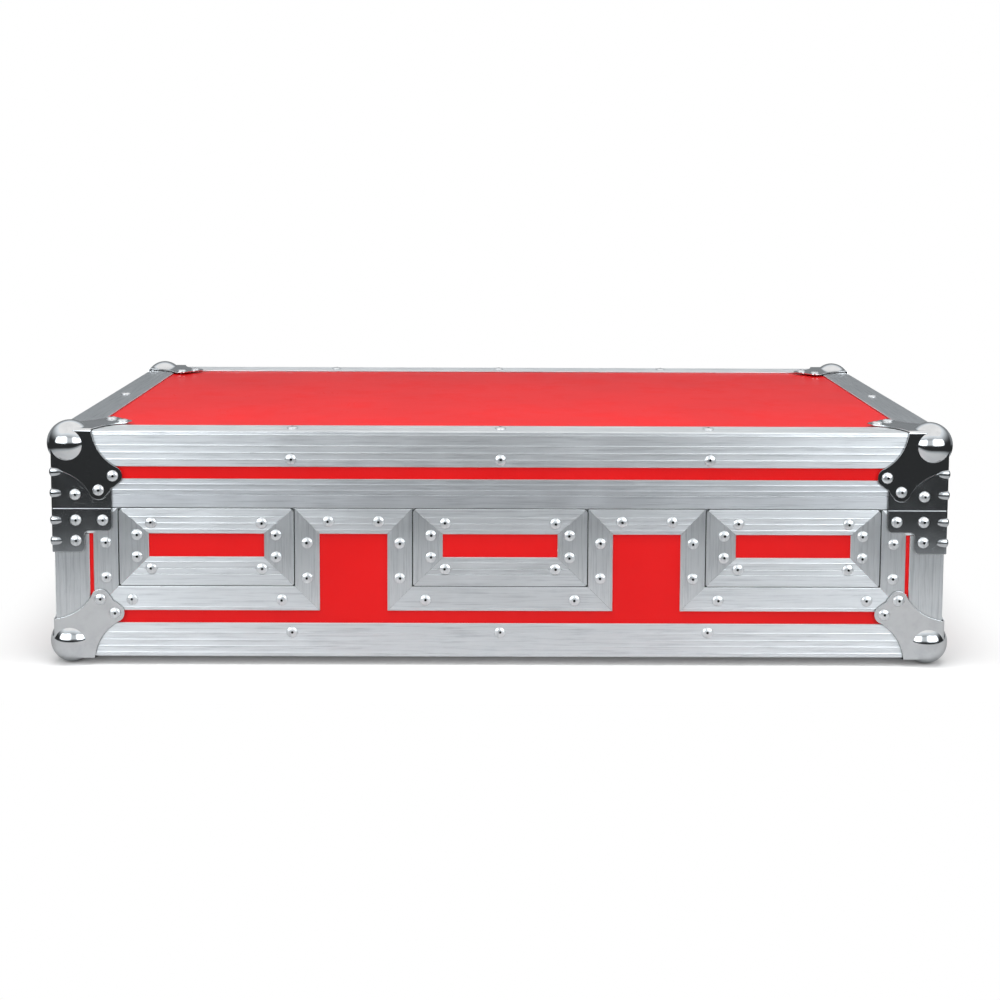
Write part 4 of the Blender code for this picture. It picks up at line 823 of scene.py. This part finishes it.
def petal_plate(grow, low):
    """Closed outline of a petal, from its waist to its notch and back, out to low at the edges."""
    waist, notch = PETAL_WAIST + grow, PETAL_NOTCH + PETAL_NOTCH_IN + grow
    lobe = arc(PETAL_LOBE, PETAL_LOBE_RADIUS + grow, -75, 35, 14)
    start, bend = Vector((waist, 0.0)), Vector((1.1 * waist, 0.55 * PETAL_LOBE[1]))
    half = []
    for step in range(10):
        t = step / 10
        half.append(tuple((1 - t) ** 2 * start + 2 * t * (1 - t) * bend + t * t * Vector(lobe[0])))
    half += lobe + arc((notch, notch), PETAL_NOTCH_RADIUS, 262, 225, 4)
    other = [(v, u) for u, v in reversed(half[:-1])]
    return [(half[0][0], low)] + half + other + [(low, half[0][0]), (low, low)]


def trimmed_block(face, tip, rounding=0.0):
    """Cube from the case corner, its edges there rounded and its sharp corner taken off."""
    bm = block((face, face, face), (PLATE_REACH, PLATE_REACH, PLATE_REACH))
    if rounding:
        apex = min(bm.verts, key=lambda vert: vert.co.length)
        rounded(bm, list(apex.link_edges), rounding, 6)
    cut_off(bm, (tip, 0, 0), Vector((-1, -1, -1)).normalized())
    return bm


def eased(bm, width, sharp=40, segments=2):
    """Round off the sharp edges of a pressed shape."""
    bmesh.ops.dissolve_limit(bm, angle_limit=math.radians(0.5), verts=bm.verts, edges=bm.edges)
    edges = [e for e in bm.edges if e.is_manifold and e.calc_face_angle(0) > math.radians(sharp)]
    rounded(bm, edges, width, segments, clamp=True)
    weld(bm, 0.000005)
    return bm


def on_face(axis, u, v, depth=0.0):
    """Point on the face of a corner across one axis."""
    point = [u, v]
    point.insert(axis, depth)
    return Vector(point)


def cut_face(bm, axis, outline, far):
    """Cut an outline out of a corner fitting, through its face across one axis."""
    points = [on_face(axis, u, v) for u, v in outline]
    near = on_face(axis, 0, 0, 2 * PLATE_OUTER)
    return carve(bm, prism(points, near, on_face(axis, 0, 0, far)))


def carried(source, place, signs):
    """Copy of a shape, carried to its place on the case and mirrored to suit."""
    bm = as_shape(source)
    move = Matrix.Translation(place) @ Matrix.Diagonal((*signs, 1.0))
    bmesh.ops.transform(bm, matrix=move, verts=bm.verts)
    if signs[0] * signs[1] * signs[2] < 0:
        bmesh.ops.reverse_faces(bm, faces=bm.faces)
    return bm


def set_in_corners(source, kind, ending, material, slot, body, height, rise, axes, spots):
    """Set a fitting at four corners, with rivets at (u, v) spots on its faces across some axes."""
    for label, side, end in CORNERS:
        place, signs = case_corner(side, end, height), (-side, -end, rise)
        name, shape = f"{kind}_{label}", carried(source, place, signs)
        finished(f"{name}_{ending}", shape, [material], body, name, 30)
        rows = []
        for axis in axes:
            outward = on_face(axis, 0, 0, -signs[axis])
            for u, v in spots:
                spot = zip(on_face(axis, u, v, PLATE_OUTER), signs)
                rows.append((outward, [place + Vector([part * sign for part, sign in spot])]))
        rivet_row(f"{name}_rivets", rows, body)


low, high = 2 * PLATE_OUTER, 2 * PLATE_REACH
waste = petal_plate(0.0, low)[:-1] + [(low, high), (high, high), (high, low)]
corner = trimmed_block(PLATE_OUTER, PLATE_TIP, PLATE_ROUND)
for axis in (2, 1, 0):
    corner = cut_face(corner, axis, waste, PLATE_INNER / 3)
corner = eased(carve(corner, trimmed_block(PLATE_INNER, SEAT_TIP)), PETAL_EASE)
ball = bmesh.new()
bmesh.ops.create_uvsphere(
    ball, u_segments=BALL_SEGMENTS, v_segments=BALL_SEGMENTS // 2, radius=BALL_RADIUS,
    matrix=Matrix.Translation((BALL_CENTRE, BALL_CENTRE, BALL_CENTRE)),
)
corner = carve(carve(corner, ball, "UNION"), trimmed_block(PLATE_INNER, SEAT_TIP))
corner_mesh = as_mesh("ball_corner", corner)
for level, body, height, rise in (("lower", "base", CASE_FOOT, 1), ("upper", "lid", CASE_HEAD, -1)):
    finish, spots = (chrome, "chrome", body), (PETAL_LOBE, PETAL_LOBE[::-1])
    kind, axes = f"ball_corner_{level}", (0, 1, 2)
    set_in_corners(corner_mesh, kind, "shell", *finish, height, rise, axes, spots)


# Corner braces: pressed steel angles, bright plated, riveted to both rims at the lid joint.
# The base's is an L on each face; the lid's tucks under the petals of the ball corner above it.
STEEL_BRIGHT = (0.72, 0.73, 0.74, 1.0)
STEEL_SHADE = (0.52, 0.53, 0.54, 1.0)
BRACE_ARM, BRACE_ARM_WIDTH = 0.050, 0.0195
BRACE_LEG, BRACE_LEG_WIDTH, BRACE_ROUND = 0.038, 0.0265, 0.004
BRACE_PAST, BRACE_EASE = 0.01, 0.00045
RIB_REACH, RIB_HALF, RIB_RISE = 0.0100, 0.0042, 0.0012
BASE_RIBS, LID_RIBS = (0.0104, 0.0282), (0.0128, 0.0310)
BASE_BRACE_SPOTS = ((0.0193, 0.0101), (0.0423, 0.0101), (0.0192, 0.0278))
LID_BRACE_SPOTS = ((0.0192, 0.0117),)

bright_steel = plated_finish("bright_steel", STEEL_BRIGHT, STEEL_SHADE, 0.14, 0.6)


def brace_shape(rib_rows, wastes):
    """Brace at a corner towards +X and +Y, running up from the lid joint at z = 0."""
    middle = PLATE_OUTER + PLATE_ROUND
    plan = [(BRACE_ARM, PLATE_OUTER), *arc((middle, middle), PLATE_ROUND, 270, 180, 6)]
    plan += [(PLATE_OUTER, BRACE_ARM), (PLATE_INNER, BRACE_ARM)]
    plan += [(PLATE_INNER, PLATE_INNER), (BRACE_ARM, PLATE_INNER)]
    bm = prism([(x, y, 0) for x, y in plan], (0, 0, 0), (0, 0, BRACE_LEG))
    for waste in wastes:
        for axis in (1, 0):
            bm = cut_face(bm, axis, waste, -PLATE_OUTER)
    eased(bm, BRACE_EASE)
    for row in rib_rows:
        rib = bmesh.new()
        bmesh.ops.create_uvsphere(rib, u_segments=32, v_segments=14, radius=1.0)
        for vert in rib.verts:
            for axis in (0, 1):
                vert.co[axis] *= RIB_REACH if vert.co[axis] > 0 else RIB_RISE - PLATE_OUTER
            vert.co.z = row + RIB_HALF * vert.co.z
        seat = 2 * PLATE_INNER
        rib = carve(rib, block((seat, seat, row - 0.01), (0.05, 0.05, row + 0.01)))
        bm = carve(bm, rib, "UNION")
    return as_mesh("brace", bm)


r, beyond, above = BRACE_ROUND, BRACE_ARM + BRACE_PAST, BRACE_LEG + BRACE_PAST
waste = [(beyond, -BRACE_PAST), (BRACE_ARM, -BRACE_PAST), (BRACE_ARM, 0.0)]
waste += arc((BRACE_ARM - r, BRACE_ARM_WIDTH - r), r, 0, 90, 8)
waste += arc((BRACE_LEG_WIDTH + r, BRACE_ARM_WIDTH + r), r, 270, 180, 8)
waste += arc((BRACE_LEG_WIDTH - r, BRACE_LEG - r), r, 0, 90, 8)
waste += [(BRACE_LEG_WIDTH - r, above), (beyond, above)]
petal = petal_plate(-PLATE_INNER, 3 * PLATE_OUTER)
under_petal = [(u, CASE_HEAD - LID_BOTTOM - v) for u, v in petal]
for part, ribs, wastes, height, rise, spots in (
    ("base", BASE_RIBS, [waste], BASE_TOP, -1, BASE_BRACE_SPOTS),
    ("lid", LID_RIBS, [waste, under_petal], LID_BOTTOM, 1, LID_BRACE_SPOTS),
):
    finish = (f"{part}_brace", "angle", bright_steel, "bright_steel", part)
    set_in_corners(brace_shape(ribs, wastes), *finish, height, rise, (0, 1), spots)


# Twist latches: zinc-plated steel, two on each side of the case.
# Each is one pressed pan sawn in two at the lid joint: a dish on the base and a keeper on the lid.
ZINC_BRIGHT = (0.74, 0.755, 0.77, 1.0)
ZINC_SHADE = (0.50, 0.515, 0.53, 1.0)
SHEET, FLANGE_FACE, FLANGE_WIDTH = 0.0012, 0.0003, 0.0117
LATCH_PAN_HALF, LATCH_FLOOR = 0.0296, 0.0093
PAN_CORNER, PAN_DRAFT, PAN_FILLET, LIP_FILLET = 0.0032, 0.0009, 0.0014, 0.0009
SPINDLE_HEIGHT, SPINDLE_RADIUS, CLEARANCE = 0.121, 0.004, 0.0003
DISH_RIVETS = ((0.03605, 0.08495), (0.03605, 0.121))
KEEPER_RIVETS = ((0.03605, 0.15705),)
STUD_PLACE = (0, 0, 0.141)
STUD_PROFILE = (
    (0.0030, 0.0094), (0.0030, 0.0070), (0.0041, 0.0067), (0.0041, 0.0062), (0.0034, 0.0059)
)
HUB = (0, 0, SPINDLE_HEIGHT)
AXIS_X, AXIS_Y = (1, 0, 0), (0, 1, 0)

zinc = plated_finish("zinc", ZINC_BRIGHT, ZINC_SHADE, 0.24, 0.35)


def pressed_pan(half_y, half_z, floor, height):
    """Pressed dish with a flat flange, drawn in along X and centred on the given height."""
    bm = flat_sheet(half_z, half_y)
    face_on = Matrix.Translation((FLANGE_FACE, 0, height)) @ Matrix.Rotation(math.pi / 2, 4, "Y")
    bmesh.ops.transform(bm, matrix=face_on, verts=bm.verts)
    rounded(bm, bm.verts[:], PAN_CORNER, 6, "VERTICES")
    mouth = list(bm.faces)
    lip = [edge for edge in bm.edges if edge.is_boundary]
    for vert in only(BMVert, bmesh.ops.extrude_edge_only(bm, edges=lip)["geom"]):
        vert.co.y += math.copysign(FLANGE_WIDTH, vert.co.y)
        vert.co.z += math.copysign(FLANGE_WIDTH, vert.co.z - height)
    grown = bmesh.ops.extrude_face_region(bm, geom=mouth)["geom"]
    for vert in only(BMVert, grown):
        vert.co.x = floor
        vert.co.y -= math.copysign(PAN_DRAFT, vert.co.y)
        vert.co.z -= math.copysign(PAN_DRAFT, vert.co.z - height)
    bmesh.ops.delete(bm, geom=mouth, context="FACES_ONLY")
    bottom = [edge for face in only(BMFace, grown) for edge in face.edges]
    for edges, fillet in ((bottom, PAN_FILLET), (lip, LIP_FILLET)):
        rounded(bm, [edge for edge in edges if edge.is_valid], fillet, 4)
    face_outward(bm)
    if sum(face.normal.x * face.calc_area() for face in bm.faces) > 0:
        bmesh.ops.reverse_faces(bm, faces=bm.faces)
    bmesh.ops.solidify(bm, geom=bm.faces[:], thickness=SHEET)
    face_outward(bm)
    return bm


def sawn_pan(height, way):
    """Latch pan without what lies above or below a height."""
    bm = pressed_pan(LATCH_PAN_HALF, LATCH_PAN_HALF, LATCH_FLOOR, SPINDLE_HEIGHT)
    cut_off(bm, (0, 0, height), way)
    face_outward(bm)
    return bm


def rod(radius, start, end, centre, axis, steps=32):
    """Plain round bar."""
    return turned([(radius, start), (radius, end)], centre, axis, steps)


def side_rivets(name, side, middle, spots, body):
    """Rivets on a flange, at both hands of the middle."""
    face = side * (HALF_WIDTH - FLANGE_FACE)
    places = [(face, middle + hand * y, z) for hand in (-1, 1) for y, z in spots]
    rivet_row(name, [((side, 0, 0), places)], body)


def set_in_latches(name, source, body, node):
    """Set a zinc part in all four latches; {} in a name stands for the latch."""
    for label, side, end in CORNERS:
        shape = carried(source, (side * HALF_WIDTH, end * LATCH_SPREAD, 0), (-side, 1, 1))
        finished(name.format(label), shape, [zinc], body.format(label), node.format(label))


hole = rod(SPINDLE_RADIUS + CLEARANCE, -0.004, 0.02, HUB, AXIS_X)
dish = as_mesh("dish", carve(sawn_pan(BASE_TOP, UP), hole))
keeper = as_mesh("keeper", sawn_pan(LID_BOTTOM, DOWN))
stud = as_mesh("stud", turned(STUD_PROFILE, STUD_PLACE, AXIS_X, 20))
set_in_latches("latch_dish_{}_pan", dish, "base", "latch_dish_{}")
set_in_latches("latch_keeper_{}_pan", keeper, "lid", "latch_keeper_{}")
set_in_latches("latch_stud_{}", stud, "lid", "latch_keeper_{}")
for label, side, end in CORNERS:
    middle = end * LATCH_SPREAD
    side_rivets(f"latch_dish_{label}_rivets", side, middle, DISH_RIVETS, "base")
    side_rivets(f"latch_keeper_{label}_rivets", side, middle, KEEPER_RIVETS, "lid")


# Latch claws: a hooked plate riveted to a turning spindle, which draws the keeper's stud down.
# A hinge pin across the hub carries the wing.
CLAW_REACH, CLAW_FINGER = 0.028, 0.0238
CLAW_TAIL, CLAW_TIP, CLAW_THROAT = -128, -62, -112
CLAW_FACE, CLAW_BACK, CLAW_EASE = 0.0069, 0.0089, 0.0003
HUB_PROFILE = ((0.0080, 0.0089), (0.0080, 0.0064), (0.0075, 0.0059))
SPINDLE_START, SPINDLE_END = 0.0075, 0.01035
HINGE_PLACE, HINGE_RADIUS, HINGE_HALF = (0.0039, 0, SPINDLE_HEIGHT), 0.0009, 0.008
BOSS_HALF, BOSS_RISE, BOSS_FACE, BOSS_EASE = 0.0045, 0.0018, 0.0027, 0.0005


def plate(outline, face, back, ease, segments=2):
    """Flat plate round the spindle, its outline given as (Y, Z), with eased edges."""
    points = [(0, y, SPINDLE_HEIGHT + z) for y, z in outline]
    return eased(prism(points, (face, 0, 0), (back, 0, 0)), ease, segments=segments)


tip = arc((0, 0), (CLAW_REACH + CLAW_FINGER) / 2, CLAW_TIP, CLAW_TIP, 1)[0]
outline = arc((0, 0), CLAW_REACH, CLAW_TAIL, CLAW_TIP, 22)
outline += arc(tip, (CLAW_REACH - CLAW_FINGER) / 2, CLAW_TIP + 20, CLAW_TIP + 160, 5)
outline += arc((0, 0), CLAW_FINGER, CLAW_TIP, CLAW_THROAT, 16)
outline += arc((0, 0), SPINDLE_RADIUS, -100, -140, 4)
claw = plate(outline, CLAW_FACE, CLAW_BACK, CLAW_EASE)
boss = block(
    (BOSS_FACE, -BOSS_HALF, SPINDLE_HEIGHT - BOSS_RISE),
    (SPINDLE_START, BOSS_HALF, SPINDLE_HEIGHT + BOSS_RISE),
)
for part in (
    turned(HUB_PROFILE, HUB, AXIS_X),
    rod(SPINDLE_RADIUS, SPINDLE_START, SPINDLE_END, HUB, AXIS_X),
    eased(boss, BOSS_EASE, segments=3),
    rod(HINGE_RADIUS, -HINGE_HALF, HINGE_HALF, HINGE_PLACE, AXIS_Y, 16),
):
    claw = carve(claw, part, "UNION")
set_in_latches("latch_claw_{}_hook", as_mesh("claw", claw), "claw_{}", "latch_claw_{}")


# Latch wings: the folding finger plate that turns the claw, shaped like a butterfly.
# It hangs flat in the dish and folds out on its pin.
WING_FACE, WING_BACK, WING_EASE = 0.0027, 0.0051, 0.0006
WING_HALF, WING_DROP, WING_NECK, WING_HEAD = 0.017, 0.023, 0.01054, 0.0015
WING_LOBE, WING_POINT = 0.0069, 0.003
SLOT_HALF, SLOT_FOOT, SLOT_HEAD = BOSS_HALF + CLEARANCE, 0.0046, 0.004
FINGER_HOLE_ASIDE, FINGER_HOLE_DROP = 0.0088, 0.0135
FINGER_HOLE = ((0.0036, 0.0017), (0.0036, 0.0033), (0.002, 0.0038))

outline = [(WING_NECK, WING_HEAD), (WING_NECK, -WING_LOBE)]
outline += arc((WING_HALF - WING_LOBE, WING_LOBE - WING_DROP), WING_LOBE, 20, -90, 14)
outline += [(WING_POINT, -0.88 * WING_DROP)]
outline += [(-y, z) for y, z in reversed(outline)]
wing = plate(outline, WING_FACE, WING_BACK, WING_EASE, 3)
slot_foot, slot_head = SPINDLE_HEIGHT - SLOT_FOOT, SPINDLE_HEIGHT + SLOT_HEAD
wing = carve(wing, block((0, -SLOT_HALF, slot_foot), (0.01, SLOT_HALF, slot_head)))
bore = HINGE_HALF + CLEARANCE
wing = carve(wing, rod(HINGE_RADIUS + CLEARANCE, -bore, bore, HINGE_PLACE, AXIS_Y, 16))
for hand in (-1, 1):
    well = (0, hand * FINGER_HOLE_ASIDE, SPINDLE_HEIGHT - FINGER_HOLE_DROP)
    wing = carve(wing, turned(FINGER_HOLE, well, AXIS_X, 20))
set_in_latches("latch_wing_{}_plate", as_mesh("wing", wing), "wing_{}", "latch_wing_{}")


# Carrying handles: one on each side, a zinc-plated pressed dish between the two latches.
# Its steel bail springs back flat and has a black moulded grip with ribs for the fingers.
HANDLE_HALF_Y, HANDLE_HALF_Z, HANDLE_FLOOR, HANDLE_HEIGHT = 0.050, 0.024025, 0.0163, 0.075925
HANDLE_RIVETS = ((0.05645, 0.045475), (0.05645, 0.106375))
BAIL_INSET, BAIL_HEIGHT, BAIL_DROP = 0.0083, 0.09435, 0.03205
BAIL_RADIUS, BAIL_ARM, BAIL_END, BAIL_BEND, BAIL_HOLE = 0.004, 0.042, 0.0515, 0.009, 0.06
GRIP_RADIUS, GRIP_HALF, GRIP_END, GRIP_RIBS, GRIP_DEPTH = 0.0065, 0.031, 0.004, 11, 0.0007
RUBBER_BLACK, RUBBER_GREY = (0.012, 0.012, 0.013, 1.0), (0.030, 0.030, 0.032, 1.0)

rubber, shader, place = finish_material("black_rubber", 0.5)
worn = handled(place, 0.8, 120.0)
feed(shader["Base Color"], mix_colour(worn["Smudge"], RUBBER_BLACK, RUBBER_GREY))
feed(shader["Roughness"], scaled(worn["Scratch"], 0.2, 0.46))
add_bump(shader, noise(place, 1400.0), 0.0002, 0.5)

pan = pressed_pan(HANDLE_HALF_Y, HANDLE_HALF_Z, HANDLE_FLOOR, HANDLE_HEIGHT)
pivot = (BAIL_INSET, 0, BAIL_HEIGHT)
pan = carve(pan, rod(BAIL_RADIUS + CLEARANCE, -BAIL_HOLE, BAIL_HOLE, pivot, AXIS_Y))

half_bend = BAIL_BEND / 2
route = [(-BAIL_END, 0.0)] + arc((-BAIL_ARM - half_bend, -half_bend), half_bend, 90, 0, 8)
route += arc((-BAIL_ARM + BAIL_BEND, -BAIL_DROP + BAIL_BEND), BAIL_BEND, 180, 270, 10)
route += [(-y, z) for y, z in reversed(route)]
curve = bpy.data.curves.new("bail", "CURVE")
curve.dimensions = "3D"
curve.bevel_depth, curve.bevel_resolution, curve.use_fill_caps = BAIL_RADIUS, 5, True
spline = curve.splines.new("POLY")
spline.points.add(len(route) - 1)
for point, (y, z) in zip(spline.points, route):
    point.co = (BAIL_INSET, y, BAIL_HEIGHT + z, 1.0)
swept = place_in_scene("bail", curve)
bail = evaluated_shape(swept)
bpy.data.objects.remove(swept)
weld(bail, 0.00002)
face_outward(bail)

ease = GRIP_RADIUS - 0.0002
profile = [(BAIL_RADIUS + 0.0001, -GRIP_HALF), (GRIP_RADIUS - 0.0012, -GRIP_HALF)]
profile += [(ease, -GRIP_HALF + 0.0006), (GRIP_RADIUS, -GRIP_HALF + 0.0016)]
pitch, valley = 2 * (GRIP_HALF - GRIP_END) / GRIP_RIBS, GRIP_RADIUS - GRIP_DEPTH
for rib in range(GRIP_RIBS):
    start = -GRIP_HALF + GRIP_END + rib * pitch
    profile += [(GRIP_RADIUS, start), (valley, start + 0.18 * pitch)]
    profile += [(valley, start + 0.42 * pitch), (GRIP_RADIUS, start + 0.60 * pitch)]
profile += [(r, -y) for r, y in reversed(profile[:4])]
grip = turned(profile, (BAIL_INSET, 0, BAIL_HEIGHT - BAIL_DROP), AXIS_Y, 28)

pan, bail, grip = as_mesh("pan", pan), as_mesh("bail", bail), as_mesh("grip", grip)
for side, label in SIDES:
    dish, node, body = f"handle_dish_{label}", f"handle_bail_{label}", f"handle_{label}"
    for name, source, material, rider, slot, stood_for in (
        (f"{dish}_pan", pan, zinc, "base", "zinc", dish),
        (f"{node}_rod", bail, zinc, body, "black_rubber", node),
        (f"{node}_grip", grip, rubber, body, "black_rubber", node),
    ):
        shape = carried(source, (side * HALF_WIDTH, 0, 0), (-side, 1, 1))
        finished(name, shape, [material], rider, stood_for)
    side_rivets(f"{dish}_rivets", side, 0.0, HANDLE_RIVETS, "base")


# Foam liner: charcoal open-cell foam, cut with three bays for two players and a mixer.
# It is glued to the base's panels, open at the front doors and relieved behind the handle dishes.
FOAM_DARK, FOAM_PALE = (0.012, 0.012, 0.014, 1.0), (0.060, 0.060, 0.066, 1.0)
FOAM_EDGE = 0.0022

foam, shader, place = finish_material("grey_foam", 0.95)
shader["Sheen Weight"].default_value = 0.25
shader["Sheen Roughness"].default_value = 0.6
cells = add_node("TexVoronoi", {"Vector": place, "Scale": 700.0})["Distance"]
pores = spread(cells, 0.15, 0.75)
patchy = spread(noise(place, 14.0, 3.0), 0.3, 0.7)
tone = scaled(patchy, 0.25, calculate("MULTIPLY", pores, 0.7))
feed(shader["Base Color"], mix_colour(tone, FOAM_PALE, FOAM_DARK))
under = add_bump(shader, noise(place, 60.0, 3.0), 0.0015, 0.35)
add_bump(shader, calculate("MULTIPLY", pores, -1.0), 0.0006, 0.8, under)

for node, body in (("bay_foam", "base"), ("lid_foam", "lid")):
    bm = as_shape(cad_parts[node].data)
    weld(bm, 0.00001)
    bm.normal_update()
    cut = finished(f"{node}_cut", eased(bm, FOAM_EDGE, 60, 3), [foam], body, node)
